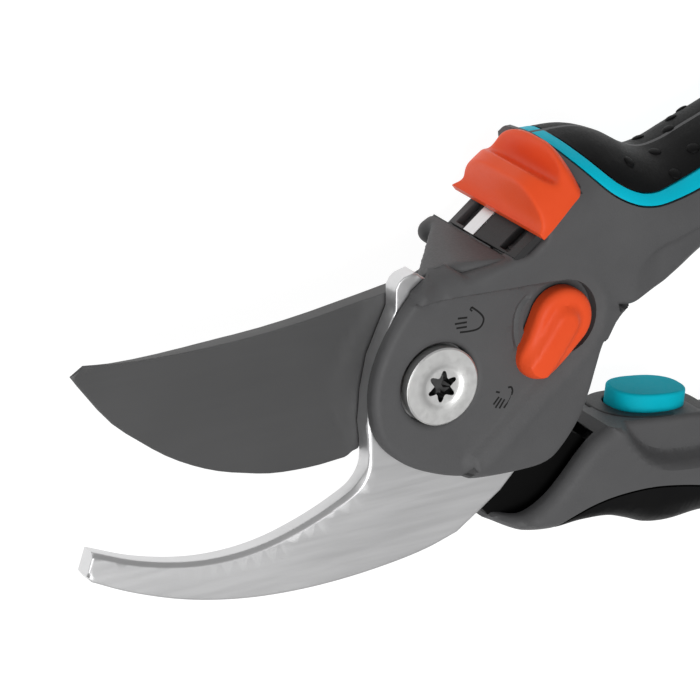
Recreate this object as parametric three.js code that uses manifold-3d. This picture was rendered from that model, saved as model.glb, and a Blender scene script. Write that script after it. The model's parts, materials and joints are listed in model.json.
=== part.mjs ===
// Power-assisted bypass pruner. Millimetres, +Z up, the tool lies flat on its far side.
// The pivot axis is the Z axis, the jaws point to -X and the handles to +X.
import * as THREE from 'three';
import { mergeVertices } from 'three/addons/utils/BufferGeometryUtils.js';
import { ConvexGeometry } from 'three/addons/geometries/ConvexGeometry.js';
import Module from 'manifold-3d';

const wasm = await Module();
wasm.setup();

// ---- driving dimensions -------------------------------------------------------------------
const GAP = 0.3;
const TOLERANCE = 0.07;           // slivers below this size are merged away
const BODY_TOP = 28;              // near face of the upper handle
const BODY_SPLIT = 14;            // seam between the two upper half shells
const HEAD_SPLIT = 20.2;          // seam between the half shells around the pivot
const HEAD_SPLIT_R = 33.8;
const WALL = 2.6;
const PLATE_UNDER = 24.3;         // underside of the near head plate
const COUNTER_Z = [20.4, 24.0];
const CUTTER_Z = [16.9, 20.1];
const FAR_PLATE_Z = [12.6, 16.6];
const PEAR_FLOOR = 27.4;
const BOLT_HEAD_R = 7;
const BOLT_SHANK_R = 3.2;
const BUSH_R = 4.4;
const HUB_R = 17;                 // pitch radius of the blade's tooth sector
const MODULE_MM = 1.0;
const PINION_AT = [20.0, 6.5];
const PINION_TEETH = 8;
const WORM_R = 2.5;
const DRIVE_ANGLE = THREE.MathUtils.degToRad(9);
const LOWER_TOP = 25;             // near face of the lower handle
const LOWER_SPLIT = 12.5;
const SKIN = 1.4;                 // soft grip thickness
const SEAT_START = [14.5, 20.5];  // lock slider seat, front end on its floor
const SEAT_ALONG = [0.8, 0.6];
const SEAT_LENGTH = 17.5;
const SEAT_LEAN = 0.28;           // how far the rear wall leans back per millimetre of height
const LEVER_HUB = [24.2, 7.7];
const LEVER_TIP = [19.7, 1.5];
const BUFFER_AT = [51.9, -16.2];
const BUFFER_TILT = THREE.MathUtils.degToRad(-8);
const BUFFER_SQUARENESS = 2.5;
const BUTTON_AT = [76, 27.4];
const LIGHT_AT = [88.5, 31.8];

// ---- colours ------------------------------------------------------------------------------
const GREY = { color: 0x555658, roughness: 0.6, metalness: 0 };
const BLACK = { color: 0x1c1c1d, roughness: 0.75, metalness: 0 };
const DARK = { color: 0x2a2a2b, roughness: 0.6, metalness: 0 };
const ORANGE = { color: 0xe5562b, roughness: 0.4, metalness: 0 };
const TEAL = { color: 0x00b3ca, roughness: 0.5, metalness: 0 };
const COATED = { color: 0x4b4b4b, roughness: 0.45, metalness: 0.3 };
const STEEL = { color: 0xb4b4b4, roughness: 0.35, metalness: 1 };
const SPRING = { color: 0x8a8a8a, roughness: 0.3, metalness: 1 };
const BRASS = { color: 0xb5924c, roughness: 0.35, metalness: 1 };
const BOARD = { color: 0x1f6b3a, roughness: 0.5, metalness: 0 };
const CELL = { color: 0x2f5fa8, roughness: 0.45, metalness: 0 };
const LENS = { color: 0x9fe8a8, roughness: 0.2, metalness: 0 };

const root = new THREE.Group();
root.name = 'power_assisted_bypass_pruner';

// ---- small geometry helpers ---------------------------------------------------------------
function solid(geometry) {
  const bare = geometry.index ? geometry.toNonIndexed() : geometry.clone();
  bare.deleteAttribute('normal');
  bare.deleteAttribute('uv');
  const welded = mergeVertices(bare, 1e-4);
  const mesh = new wasm.Mesh({
    numProp: 3,
    vertProperties: new Float32Array(welded.attributes.position.array),
    triVerts: new Uint32Array(welded.index.array),
  });
  mesh.merge();
  return new wasm.Manifold(mesh);
}

function addPart(name, shape, look) {
  const mesh = shape.simplify(TOLERANCE).getMesh();
  const geometry = new THREE.BufferGeometry();
  geometry.setAttribute('position', new THREE.BufferAttribute(new Float32Array(mesh.vertProperties), 3));
  geometry.setIndex(new THREE.BufferAttribute(new Uint32Array(mesh.triVerts), 1));
  geometry.computeVertexNormals();
  const part = new THREE.Mesh(geometry, new THREE.MeshStandardMaterial(look));
  part.name = name;
  root.add(part);
}

function spline(points, steps = 3, closed = false) {
  const curve = new THREE.CatmullRomCurve3(
    points.map(([x, y]) => new THREE.Vector3(x, y, 0)), closed, 'centripetal');
  const count = (points.length - (closed ? 0 : 1)) * steps;
  const out = [];
  for (let i = 0; i < count + (closed ? 0 : 1); i += 1) {
    const p = curve.getPoint(i / count);
    out.push([p.x, p.y]);
  }
  return out;
}

function arc(cx, cy, r, from, to, steps) {
  const out = [];
  for (let i = 0; i <= steps; i += 1) {
    const a = THREE.MathUtils.degToRad(from + ((to - from) * i) / steps);
    out.push([cx + r * Math.cos(a), cy + r * Math.sin(a)]);
  }
  return out;
}

function shapeOf(loop) {
  return new THREE.Shape(loop.map(([x, y]) => new THREE.Vector2(x, y)));
}

function plate(loop, z0, z1) {
  const g = new THREE.ExtrudeGeometry(shapeOf(loop), { depth: z1 - z0, bevelEnabled: false });
  g.translate(0, 0, z0);
  return solid(g);
}

// A plate whose long edges are rounded, by radius in the plane and rise along Z. inset shrinks it
// all round.
function roundedPlate(loop, z0, z1, radius, inset = 0, segments = 3, rise = radius) {
  const g = new THREE.ExtrudeGeometry(shapeOf(loop), {
    depth: z1 - z0 - 2 * rise,
    bevelEnabled: true,
    bevelThickness: rise - inset,
    bevelSize: radius - inset,
    bevelOffset: -radius,
    bevelSegments: segments,
  });
  g.translate(0, 0, z0 + rise);
  return solid(g);
}

function disc(x, y, z0, z1, r, sides = 24) {
  const g = new THREE.CylinderGeometry(r, r, z1 - z0, sides);
  g.rotateX(Math.PI / 2);
  g.translate(x, y, (z0 + z1) / 2);
  return solid(g);
}

function box(x0, x1, y0, y1, z0, z1) {
  const g = new THREE.BoxGeometry(x1 - x0, y1 - y0, z1 - z0);
  g.translate((x0 + x1) / 2, (y0 + y1) / 2, (z0 + z1) / 2);
  return solid(g);
}

// A round bar from one point along a direction in the XY plane.
function bar(x, y, z, angle, length, r, sides = 24) {
  const g = new THREE.CylinderGeometry(r, r, length, sides);
  g.rotateZ(-Math.PI / 2);
  g.translate(length / 2, 0, 0);
  g.rotateZ(angle);
  g.translate(x, y, z);
  return solid(g);
}

function union(...shapes) {
  return shapes.reduce((a, b) => a.add(b));
}

function cut(shape, ...tools) {
  return tools.reduce((a, b) => a.subtract(b), shape);
}

// Points of the slider seat: distance along the seat, height above its floor.
function seat(along, up) {
  return [
    SEAT_START[0] + SEAT_ALONG[0] * along - SEAT_ALONG[1] * up,
    SEAT_START[1] + SEAT_ALONG[1] * along + SEAT_ALONG[0] * up,
  ];
}

// An upright block that follows the seat: ranges along, up and across.
function seatBlock(a0, a1, n0, n1, z0, z1) {
  return plate([seat(a0, n0), seat(a1, n0), seat(a1, n1), seat(a0, n1)], z0, z1);
}

// The pocket that the slider runs in. Its rear wall leans back.
function seatPocket(floor = -1.8) {
  const rear = SEAT_LENGTH + SEAT_LEAN * 20;
  return [seat(0, floor), seat(SEAT_LENGTH, floor), seat(SEAT_LENGTH, 0), seat(rear, 20), seat(-6, 20), seat(0, 4)];
}

// ---- outlines -----------------------------------------------------------------------------
const cutterEdge = spline([
  [-67.5, 13.5], [-65, 9.8], [-60, 3.4], [-55, -0.9], [-50, -4.7], [-45, -7.6], [-40, -9.8],
  [-35, -11.3], [-30, -12.5], [-25, -13], [-20, -13.1], [-15.2, -12.8],
], 2);
const cutterNotch = [[-14.6, -12.6], [-13.6, -12.0], [-12.4, -11.7]];
const cutterSpine = spline([
  [0, 17], [-5, 16.6], [-10, 15.9], [-20, 14.6], [-30, 13.7], [-40, 13.4], [-50, 13.6],
  [-60, 14.3], [-65, 15],
], 2);

const counterLoop = [
  ...spline([
    [-66.5, -17.3], [-58, -20.9], [-48.5, -23.4], [-40.5, -24.1], [-33, -23.5], [-25.5, -21.6],
    [-19, -19.1], [-15, -16.9], [-13, -14.0], [-12.7, -10], [-13, -6],
  ], 2),
  [-12.4, 0], [-11, 6], [-8.6, 11], [-7, 14.3], [-6.9, 18.2], [-6.2, 19.4], [-5.2, 20.1],
  [-3, 20.6], [-1.8, 19.4], [4, 16.4], [14, 13.2], [30, 16], [44, 20.2], [57, 25.2],
  [58.6, 20], [50, 16.2], [44, 13.8], [36, 9.2], [30, 2], [27, -8], [22, -15.5], [17, -21.1],
  [14, -24.1], [10.3, -26.6], [6.5, -29.1],
  ...spline([
    [5, -30.1], [-1, -31.8], [-8, -32.9], [-19, -33.7], [-30, -33.5], [-40, -32.3], [-50, -29.9],
    [-60, -26.1], [-67, -22.6],
  ], 2),
  [-67.9, -21.3],
].reverse();

const nearPlateLoop = [
  ...spline([
    [14.8, 20.6], [5.4, 21], [0.6, 20], [-2.5, 18.5], [-7.5, 13.1], [-10.7, 8.1], [-12.6, 3.1],
    [-13.1, -2], [-12.1, -7.4], [-9.7, -11.2], [-5.4, -14.7], [0.4, -17.4], [5.4, -18.8],
    [10.4, -19.4], [16, -19.6],
  ], 2),
  ...spline([
    [20.2, -19.4], [22.6, -18.6], [25.4, -16.1], [28.4, -12.1], [30.4, -7.6], [31.9, -3.1],
    [33.5, 1.2],
  ], 2),
  [36, 4.6], [30, 22],
];

const farPlateLoop = [
  ...arc(0, 0, 14, 110, 300, 20), [20, -12], [28, -8], [33, 0.8], [36, 6], [28, 22], [12, 19],
  [7, 17.8],
];

const pearLoop = [
  [-22, 15.2], [-4, 15.6],
  ...spline([
    [2, 16], [12, 15.7], [22, 15.2], [27.5, 14], [30.8, 11], [31.4, 7.6], [30, 3], [26, -2.6],
    [20, -8], [14, -12.6], [8, -16.6],
  ], 2),
  [3, -20.5], [-22, -21],
];

const upperLoop = [
  [24, 12], [36, 7.4],
  ...spline([
    [42, 6.9], [47, 7.4], [52, 8.8], [57, 10.6], [66, 14.2], [80, 19.5], [100, 26.5], [120, 32.5],
    [140, 37], [153, 39.5],
  ], 2),
  [167, 42.6], [164.6, 61.2],
  ...spline([
    [150, 59.6], [138, 57.4], [120, 53.2], [98, 46.4], [80, 40.4], [66.4, 35.3], [58.8, 32.6],
    [53.6, 30.8], [49.6, 30.4], [46, 31.7], [41, 34.8], [36, 36.7],
  ], 2),
  [30, 37.1], [16, 37.4],
];

const frontLoop = [
  [15.8, 13.4], [20, 11.4], [27, 8], [31, 3], [34, 0.8], [36, 4.2], [38.2, 6.3], [42, 7.4], [45, 9.5],
  [45, 26], seat(SEAT_LENGTH + 6, -2.4), seat(SEAT_LENGTH, -1.8), seat(0, -1.8),
  seat(0, 0), [13.4, 19.4], [13.6, 15],
];

const cavityLoop = [
  [33, 10], [38, 10], [43, 9], [60, 12], [100, 26], [158, 38], [158, 62], [100, 50], [60, 34],
  [52, 31.2], [46, 29.4], [40, 28.2], [35, 26.6],
];

const accentLine = spline([
  [24.6, 44], [26.2, 38.2], [30.6, 32.6], [35, 28.3], [40, 25.4], [44, 24.4], [48, 24.4],
  [53, 25.2], [62, 28.2], [78, 34.2], [100, 41], [120, 46.8], [140, 50.6], [161, 52.4],
], 2);

const lowerLoop = [
  [36.9, -17.2], [31, -34.1],
  ...spline([
    [37, -35.1], [42, -37.2], [46, -39.2], [51, -40.4], [58, -40.6], [66, -41.4], [80, -44.6],
    [100, -50.4], [120, -56], [138, -61], [143, -62.4],
  ], 2),
  [155, -65.6], [159.4, -50],
  ...spline([
    [148, -45.4], [138, -42], [120, -36.8], [100, -31.8], [84, -28.2], [72, -26], [66, -24.8],
  ], 2),
  [60, -22.3], [48, -20.1], [39, -18.3],
];

const lipLoop = [
  ...spline([
    [36.9, -17.2], [34, -18.8], [31.2, -21.2], [28, -24.6], [24.6, -27.8], [20.6, -30],
    [16.8, -30.4], [14, -29.6],
  ], 2),
  ...spline([[13.4, -31.2], [16.5, -32.7], [20.5, -33.9], [25.5, -34.5], [31, -34.3], [37, -35.1]], 2),
  [42, -33], [42, -18.9],
];

const lowerCavity = [
  [24, -15], [37.6, -19.8], [42, -20.6], [62, -25.8],
  ...spline([[72, -28.8], [84, -31], [100, -34.8], [120, -39.8], [138, -45], [150, -49.6]], 2),
  [155, -53], [155, -58],
  ...spline([
    [149, -60.6], [138, -57.6], [120, -52.8], [100, -47.2], [80, -41.4], [66, -38.4], [58, -38],
    [51, -37.6], [46, -36], [41, -33.9], [36, -32.6], [30, -32], [24, -32],
  ], 2),
  [14, -31],
].reverse();

const lowerGripLine = spline([
  [22.6, -37], [26, -33.6], [31, -31.6], [36, -30.6], [41, -30.3], [46, -30.5], [52, -31.5],
  [60, -33.4], [80, -37.2], [100, -41.6], [120, -46.6], [140, -52.2], [157, -57],
], 2);

const tangLoop = [
  [14.4, -7.2], [33, -19.2], [37, -23], [41, -27.4], [60, -30.2], [71, -32], [70, -37], [56, -35.6],
  [44, -32.6], [34, -31.2], [26, -31.4], [20, -31.6], [14.6, -31.4], [12.3, -28.7], [3, -15],
].reverse();

// ---- zones that split the skins from the shells ---------------------------------------------
function shifted(line, amount) {
  return line.map((p, i) => {
    const a = line[Math.max(i - 1, 0)];
    const b = line[Math.min(i + 1, line.length - 1)];
    const len = Math.hypot(b[0] - a[0], b[1] - a[1]);
    return [p[0] - ((b[1] - a[1]) / len) * amount, p[1] + ((b[0] - a[0]) / len) * amount];
  });
}

function zoneAbove(line, amount, lift) {
  const edge = shifted(line, amount);
  const first = edge[0];
  const last = edge[edge.length - 1];
  const loop = [...edge, [last[0], last[1] + lift], [first[0], last[1] + lift]];
  return plate(lift > 0 ? loop : loop.reverse(), -5, 40);
}

// ---- upper handle ---------------------------------------------------------------------------
function upperOuter(inset = 0) {
  return roundedPlate(upperLoop, 0, BODY_TOP, 7, inset, 3, 11);
}

function noseBlock() {
  const neck = [
    [-1.4, 18.7, 26.4], [0.8, 19.6, 27.2], [13.9, 20.1, 28], [13.9, 14, 28], [2, 15, 27.2],
    [9.9, 17.6, 12], [15.8, 13.9, 1.6], [14.2, 20, 0.9], [16, 14.2, 0.9],
  ];
  const fin = [
    [13.6, 15.4, 0.6], [12.3, 16.6, 0.6], [12, 17.9, 0.6], [13, 19, 0.6], [14.2, 19.8, 0.6],
    [13, 15.3, 4.4], [11.5, 17, 4.4], [11.6, 18.2, 4.4], [12.9, 19.4, 4.4], [15.8, 13.8, 1.6],
    [10.2, 18.3, 11.5], [11.6, 19.6, 12], [14.2, 20, 13],
  ];
  const hull = (points) => solid(new ConvexGeometry(points.map((p) => new THREE.Vector3(...p))));
  return hull(neck).add(hull(fin));
}

const SCREWS = [[40, 14.6], [82, 30.2], [148, 46.2]];

function upperBody() {
  const nearPlate = roundedPlate(nearPlateLoop, 20, BODY_TOP, 1.5, 0, 1)
    .subtract(box(-40, 60, -40, 40, 10, PLATE_UNDER));
  const farPlate = roundedPlate(farPlateLoop, FAR_PLATE_Z[0], 22, 1.2, 0, 1)
    .subtract(box(-40, 60, -40, 40, FAR_PLATE_Z[1], 30));
  const front = roundedPlate(frontLoop, 0, BODY_TOP, 0.8, 0, 1);
  const outer = union(
    upperOuter(), front, noseBlock(), nearPlate, farPlate,
    disc(0, 0, 3.2, 13, 9), disc(...PINION_AT, 4.6, 13, 10.6),
  );
  const skinZone = zoneAbove(accentLine, 0, 60).subtract(upperOuter(SKIN + GAP));
  const [px, py] = PINION_AT;
  const bladePocket = union(
    disc(0, 0, FAR_PLATE_Z[1], PLATE_UNDER, HUB_R + 2.2, 48),
    plate([[0, 0], ...arc(0, 0, 44, -90, 6, 16)], FAR_PLATE_Z[1], PLATE_UNDER),
    plate([[0, 0], ...arc(0, 0, 44, -90, 6, 16)], -1, FAR_PLATE_Z[0])
      .subtract(disc(px, py, -2, 20, 10.6)).subtract(disc(0, 0, -2, 20, 9)),
    disc(px, py, FAR_PLATE_Z[1] - 0.1, 21, 5.8),
  );
  const counterPocket = union(
    plate(shifted([...counterLoop, counterLoop[0], counterLoop[1]], -0.35).slice(0, -1),
      COUNTER_Z[0] - GAP, COUNTER_Z[1] + GAP),
  );
  const lightening = plate(cavityLoop, WALL, BODY_TOP - WALL).intersect(upperOuter(WALL));
  let bosses = disc(SCREWS[0][0], SCREWS[0][1], 1, 27, 2.6, 16);
  let holes = disc(SCREWS[0][0], SCREWS[0][1], -1, 22, 1.4, 12);
  SCREWS.forEach(([x, y]) => {
    bosses = bosses.add(disc(x, y, 1, 27, 2.6, 16));
    holes = union(holes, disc(x, y, -1, 22, 1.4, 12), disc(x, y, -1, 2.9, 2.9, 16));
  });
  const wormBore = bar(PINION_AT[0] - 8, driveY(PINION_AT[0] - 8), 10, DRIVE_ANGLE, 24, 3.5);
  const farEdge = [[0.3, 0, 5.6], [0.3, -4.4, -0.5], [0.3, 14, 5.6], [0.3, 14, -0.5]];
  const farBevel = [0, SEAT_LENGTH - 0.3].flatMap((shift) => farEdge.map(([along, up, z]) => {
    const [x, y] = seat(along + shift, up);
    return new THREE.Vector3(x, y, z);
  }));
  return cut(
    cut(outer, skinZone, lightening).add(bosses.intersect(upperOuter(SKIN + GAP))),
    holes, bladePocket, counterPocket, wormBore,
    plate(seatPocket(), 5.6, 40), plate(seatPocket(0), -1, 40), solid(new ConvexGeometry(farBevel)),
    disc(px, py, 4.9, 8, 1.5, 20),
    disc(0, 0, -1, 20, 4.6),
    disc(0, 0, 4.4, 11.8, 7.8),
    disc(px, py, 6.4, 12.3, 9.2),
    disc(px, py, 12, 17, 5.8),
    disc(0, 0, 20, 27, 3.6),
    disc(0, 0, 25.5, 30, BOLT_HEAD_R + 0.45, 48),
    plate(pearLoop, PEAR_FLOOR, 31),
    disc(...LEVER_HUB, 25.9, 31, 7.2, 32),
    disc(...LEVER_HUB, 20, 27, 1.8, 16),
    disc(...BUTTON_AT, 20, 31, 4.4, 24),
    disc(...LIGHT_AT, 20, 31, 1.9, 16),
    box(160, 190, 20, 80, -2, 30),
  );
}

function driveY(x) {
  const wx = PINION_AT[0] - Math.sin(DRIVE_ANGLE) * 11;
  const wy = PINION_AT[1] + Math.cos(DRIVE_ANGLE) * 11;
  return wy + Math.tan(DRIVE_ANGLE) * (x - wx);
}

function addUpperHandle() {
  const body = upperBody();
  const big = 400;
  const nearZone = box(-big, big, -big, big, BODY_SPLIT + GAP / 2, 60)
    .subtract(disc(0, 0, -1, HEAD_SPLIT + GAP / 2, HEAD_SPLIT_R + GAP / 2, 64));
  const farZone = box(-big, big, -big, big, -10, BODY_SPLIT - GAP / 2)
    .add(disc(0, 0, -1, HEAD_SPLIT - GAP / 2, HEAD_SPLIT_R - GAP / 2, 64));
  addPart('upper_shell_near', keepLargest(body.intersect(nearZone)), GREY);
  addPart('upper_shell_far', keepLargest(body.intersect(farZone)), GREY);
  const clear = plate(seatPocket(-6), -5, 40);
  const skin = upperOuter().subtract(upperOuter(SKIN)).subtract(box(160, 190, 20, 80, -2, 30));
  const grip = skin.intersect(zoneAbove(accentLine, 2.6, 60));
  const strip = skin.intersect(zoneAbove(accentLine, GAP, 60)).subtract(zoneAbove(accentLine, 2.3, 60));
  addPart('upper_soft_grip', keepLargest(grip.subtract(clear)), BLACK);
  addPart('accent_strip', keepLargest(strip.subtract(clear)), TEAL);
  const cap = upperOuter().intersect(box(160.3, 190, 20, 80, -2, 40));
  const lug = cut(
    roundedPlate(arc(168.6, 55.6, 5.2, -180, 165, 16), 10.5, 17.5, 1.2, 0, 1), disc(170.2, 55.6, 5, 25, 2.4, 16),
  );
  const portBore = box(155, 175, 43.6, 49.4, 8.7, 19.3);
  addPart('end_cap', cut(cap.add(lug), box(159, 161.6, 45.6, 56.4, 3, 25), portBore), DARK);
  addPart('charge_port', cut(
    box(160.4, 165.2, 43.9, 49.1, 9, 19), box(162, 168, 44.9, 48.1, 9.6, 18.4),
  ).add(box(161, 164.4, 46.2, 46.8, 10.5, 17.5)), STEEL);
  addPart('port_cover', box(165.5, 166.7, 43.9, 49.1, 9, 19), DARK);
}

function keepLargest(shape) {
  const pieces = shape.decompose();
  return pieces.reduce((a, b) => (b.volume() > a.volume() ? b : a));
}

function addBlades() {
  const [c0, c1] = COUNTER_Z;
  const [px, py] = PINION_AT;
  addPart('counter_blade', cut(
    plate(counterLoop, c0, c1),
    disc(0, 0, 10, 30, BUSH_R + GAP), disc(px, py, 10, 30, 1.8, 20),
    disc(...LEVER_HUB, 10, 30, 1.8, 16), disc(SCREWS[0][0], SCREWS[0][1], 10, 30, 3, 16),
  ), STEEL);
  const loop = [...cutterEdge, ...cutterNotch, [-10, -6], [0, -10], ...cutterSpine];
  const flat = union(
    plate(loop, ...CUTTER_Z), plate(sectorLoop(), ...CUTTER_Z), plate(tangLoop, ...CUTTER_Z),
  );
  addPart('cutting_blade', cut(
    flat, disc(0, 0, 10, 30, BUSH_R + GAP), disc(47, -30.9, 10, 30, 2.3, 20), disc(64, -33.6, 10, 30, 2.3, 20),
  ), COATED);
}

// Tooth profile on a circle: slim teeth, so that the pair runs with play.
function toothed(cx, cy, pitchR, teeth, from, to, inside) {
  const out = [];
  const pitch = (2 * Math.PI) / teeth;
  const root = pitchR - 1.15 * MODULE_MM;
  const tip = pitchR + 0.85 * MODULE_MM;
  for (let a = from; a < to - 1e-6; a += pitch) {
    [[-0.27, root], [-0.13, tip], [0.13, tip], [0.27, root]].forEach(([k, r]) => {
      out.push([cx + r * Math.cos(a + k * pitch), cy + r * Math.sin(a + k * pitch)]);
    });
  }
  if (inside) {
    out.push([cx, cy]);
  }
  return out;
}

function meshAngle() {
  return Math.atan2(PINION_AT[1], PINION_AT[0]);
}

function sectorLoop() {
  const teeth = (2 * HUB_R) / MODULE_MM;
  const pitch = (2 * Math.PI) / teeth;
  const start = meshAngle() - 4 * pitch;
  const ring = toothed(0, 0, HUB_R, teeth, start, start + 8.5 * pitch, false);
  const endDeg = THREE.MathUtils.radToDeg(start + 8.5 * pitch);
  const startDeg = THREE.MathUtils.radToDeg(start - 0.5 * pitch);
  return [...ring, ...arc(0, 0, HUB_R - 1.15, endDeg, startDeg + 360, 26)];
}

function addDrive() {
  const [px, py] = PINION_AT;
  const pinionR = (PINION_TEETH * MODULE_MM) / 2;
  const halfPitch = Math.PI / PINION_TEETH;
  const back = meshAngle() + Math.PI + halfPitch;
  const pinion = plate(toothed(px, py, pinionR, PINION_TEETH, back, back + 2 * Math.PI, false), 12.6, 20.0);
  const wheel = plate(toothed(px, py, 8, 16, 0, 2 * Math.PI, false), 7.4, 12.0);
  addPart('drive_gear', cut(
    union(pinion, wheel, disc(px, py, 11.9, 12.7, 3.2, 24)), disc(px, py, 0, 30, 1.6, 20),
  ), BRASS);
  addPart('drive_gear_pin', disc(px, py, 5.2, 23.6, 1.3, 20), STEEL);
  const w = PINION_AT[0] - 5;
  const run = 46 - w;
  const worm = bar(w, driveY(w), 10, DRIVE_ANGLE, run / Math.cos(DRIVE_ANGLE) - 0.6, 0.9, 16)
    .add(bar(w, driveY(w), 10, DRIVE_ANGLE, 10, WORM_R - 0.6, 24));
  addPart('worm_shaft', worm, STEEL);
  addPart('worm_bearing', cut(
    bar(30, driveY(30), 10, DRIVE_ANGLE, 3, 3.2, 24), bar(28, driveY(28), 10, DRIVE_ANGLE, 8, 1.2, 20),
  ), STEEL);
  addPart('gearbox', bar(46.2, driveY(46.2), 10, DRIVE_ANGLE, 10.4, 4.6, 32), DARK);
  const motor = union(
    bar(57, driveY(57), 10, DRIVE_ANGLE, 19, 5.3, 28), bar(75, driveY(75), 10, DRIVE_ANGLE, 2.4, 2.4, 24),
  );
  addPart('motor', motor, STEEL);
  const angle = THREE.MathUtils.degToRad(16);
  addPart('battery_cell', union(
    bar(88, 33.3, 11.5, angle, 48, 6.3, 28), bar(133.9, 46.46, 11.5, angle, 1.8, 2.6, 20),
  ), CELL);
  addPart('circuit_board', plate([[92, 29.6], [134, 41.8], [131.5, 50.4], [89.5, 38.2]], 21, 22.4), BOARD);
}

function addPivot() {
  const head = roundedPlate(arc(0, 0, BOLT_HEAD_R, 0, 352.5, 47), 25.9, BODY_TOP, 0.25, 0, 1);
  const socket = [];
  for (let i = 0; i < 36; i += 1) {
    const a = (i / 36) * 2 * Math.PI;
    const r = 2.35 + 0.45 * Math.cos(6 * a);
    socket.push([r * Math.cos(a), r * Math.sin(a)]);
  }
  addPart('pivot_bolt', cut(union(head, disc(0, 0, 3.4, 26.2, BOLT_SHANK_R)), plate(socket, 25.2, 30)), STEEL);
  addPart('pivot_nut', cut(
    union(disc(0, 0, 0, 2.9, 6, 36), disc(0, 0, 2.8, 16.3, 4.2)), disc(0, 0, 3.1, 20, BOLT_SHANK_R + 0.3),
  ), STEEL);
  addPart('pivot_bush', cut(
    disc(0, 0, 16.6, 24.0, BUSH_R), disc(0, 0, 10, 30, BOLT_SHANK_R + 0.3),
  ), BRASS);
  class Coil extends THREE.Curve {
    getPoint(t, target = new THREE.Vector3()) {
      const a = t * 3.5 * 2 * Math.PI;
      return target.set(6.1 * Math.cos(a), 6.1 * Math.sin(a), 5.6 + 5 * t);
    }
  }
  const wire = shapeOf(arc(0, 0, 0.6, 0, 288, 4));
  addPart('return_spring', solid(new THREE.ExtrudeGeometry(wire, {
    steps: 46, bevelEnabled: false, extrudePath: new Coil(),
  })), SPRING);
}

// ---- lock slider, seat and lever --------------------------------------------------------------
function smoothStep(low, high, x) {
  const t = THREE.MathUtils.clamp((x - low) / (high - low), 0, 1);
  return t * t * (3 - 2 * t);
}

// Height of the slider over the seat floor, from how far it is along the seat and across the tool.
function sliderHeight(along, z, zFar, zNear) {
  const far = THREE.MathUtils.clamp((z - zFar) / 13, 0, 1);
  const near = THREE.MathUtils.clamp((zNear - z) / 7.5, 0, 1);
  const dome = 1.2 + 7.8 * Math.min((1 - (1 - far) ** 2) ** 0.5, (1 - (1 - near) ** 2.3) ** 0.66);
  const front = along < 11 ? 1.9 + 0.33 * Math.max(along - 5.8, 0) ** 2.3 : 40;
  const groove = 5 + 0.8 * (along - 14) ** 2;
  return Math.min(dome, front, groove);
}

function addSlider() {
  const end = SEAT_LENGTH - 0.4;
  const nearSlot = seatBlock(0.9, end - 0.6, -3, 3, 22.0, 25.0);
  const farSlot = seatBlock(0.9, end - 0.6, -3, 3, 7.3, 10.3);
  addPart('seat_plate', cut(seatBlock(0.3, end, -1.5, 0, 14.0, 27.6), nearSlot), DARK);
  addPart('seat_rim', cut(seatBlock(0.3, end, -1.5, 0, 5.9, 10.0), farSlot), GREY);
  addPart('lock_rail', seatBlock(0.3, end, -1.5, 0, 10.3, 13.7), STEEL);
  const columns = 12;
  const rows = 14;
  const top = [];
  const base = [];
  for (let i = 0; i <= rows; i += 1) {
    for (let j = 0; j <= columns; j += 1) {
      const c = j / columns;
      const along = 5.8 + 11.1 * c;
      const zFar = 0.9 + 2.4 * smoothStep(5.8, 8, along) + 3.7 * smoothStep(10, 19.5, along);
      const zNear = 30.7 - 1.3 * smoothStep(6, 17.5, along);
      const t = i / rows;
      const z = zFar + (zNear - zFar) * (t + 0.12 * Math.sin(2 * Math.PI * t) * -1);
      const n = sliderHeight(along, z, zFar, zNear);
      top.push([...seat(along + SEAT_LEAN * n * c * c, n), z]);
      base.push([...seat(along + SEAT_LEAN * 0.35 * c * c, 0.35), z]);
    }
  }
  const feet = union(
    seatBlock(7, 12, -1.2, 0.6, 22.4, 24.6), seatBlock(7, 12, -1.2, 0.6, 7.7, 9.9),
  );
  addPart('lock_slider', loft(top, base, rows, columns).add(feet), ORANGE);
}

// A closed body between two grids of points.
function loft(top, base, rows, columns) {
  const points = [...top, ...base];
  const half = top.length;
  const at = (i, j) => i * (columns + 1) + j;
  const faces = [];
  const quad = (a, b, c, d) => faces.push([a, b, c], [a, c, d]);
  for (let i = 0; i < rows; i += 1) {
    for (let j = 0; j < columns; j += 1) {
      quad(at(i, j), at(i, j + 1), at(i + 1, j + 1), at(i + 1, j));
      quad(half + at(i, j), half + at(i + 1, j), half + at(i + 1, j + 1), half + at(i, j + 1));
    }
    quad(at(i, 0), at(i + 1, 0), half + at(i + 1, 0), half + at(i, 0));
    quad(at(i + 1, columns), at(i, columns), half + at(i, columns), half + at(i + 1, columns));
  }
  for (let j = 0; j < columns; j += 1) {
    quad(at(0, j + 1), at(0, j), half + at(0, j), half + at(0, j + 1));
    quad(at(rows, j), at(rows, j + 1), half + at(rows, j + 1), half + at(rows, j));
  }
  const g = new THREE.BufferGeometry();
  g.setAttribute('position', new THREE.Float32BufferAttribute(points.flat(), 3));
  g.setIndex(faces.flat());
  const body = solid(g);
  if (body.volume() > 0) {
    return body;
  }
  g.setIndex(faces.map(([a, b, c]) => [a, c, b]).flat());
  return solid(g);
}

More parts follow.
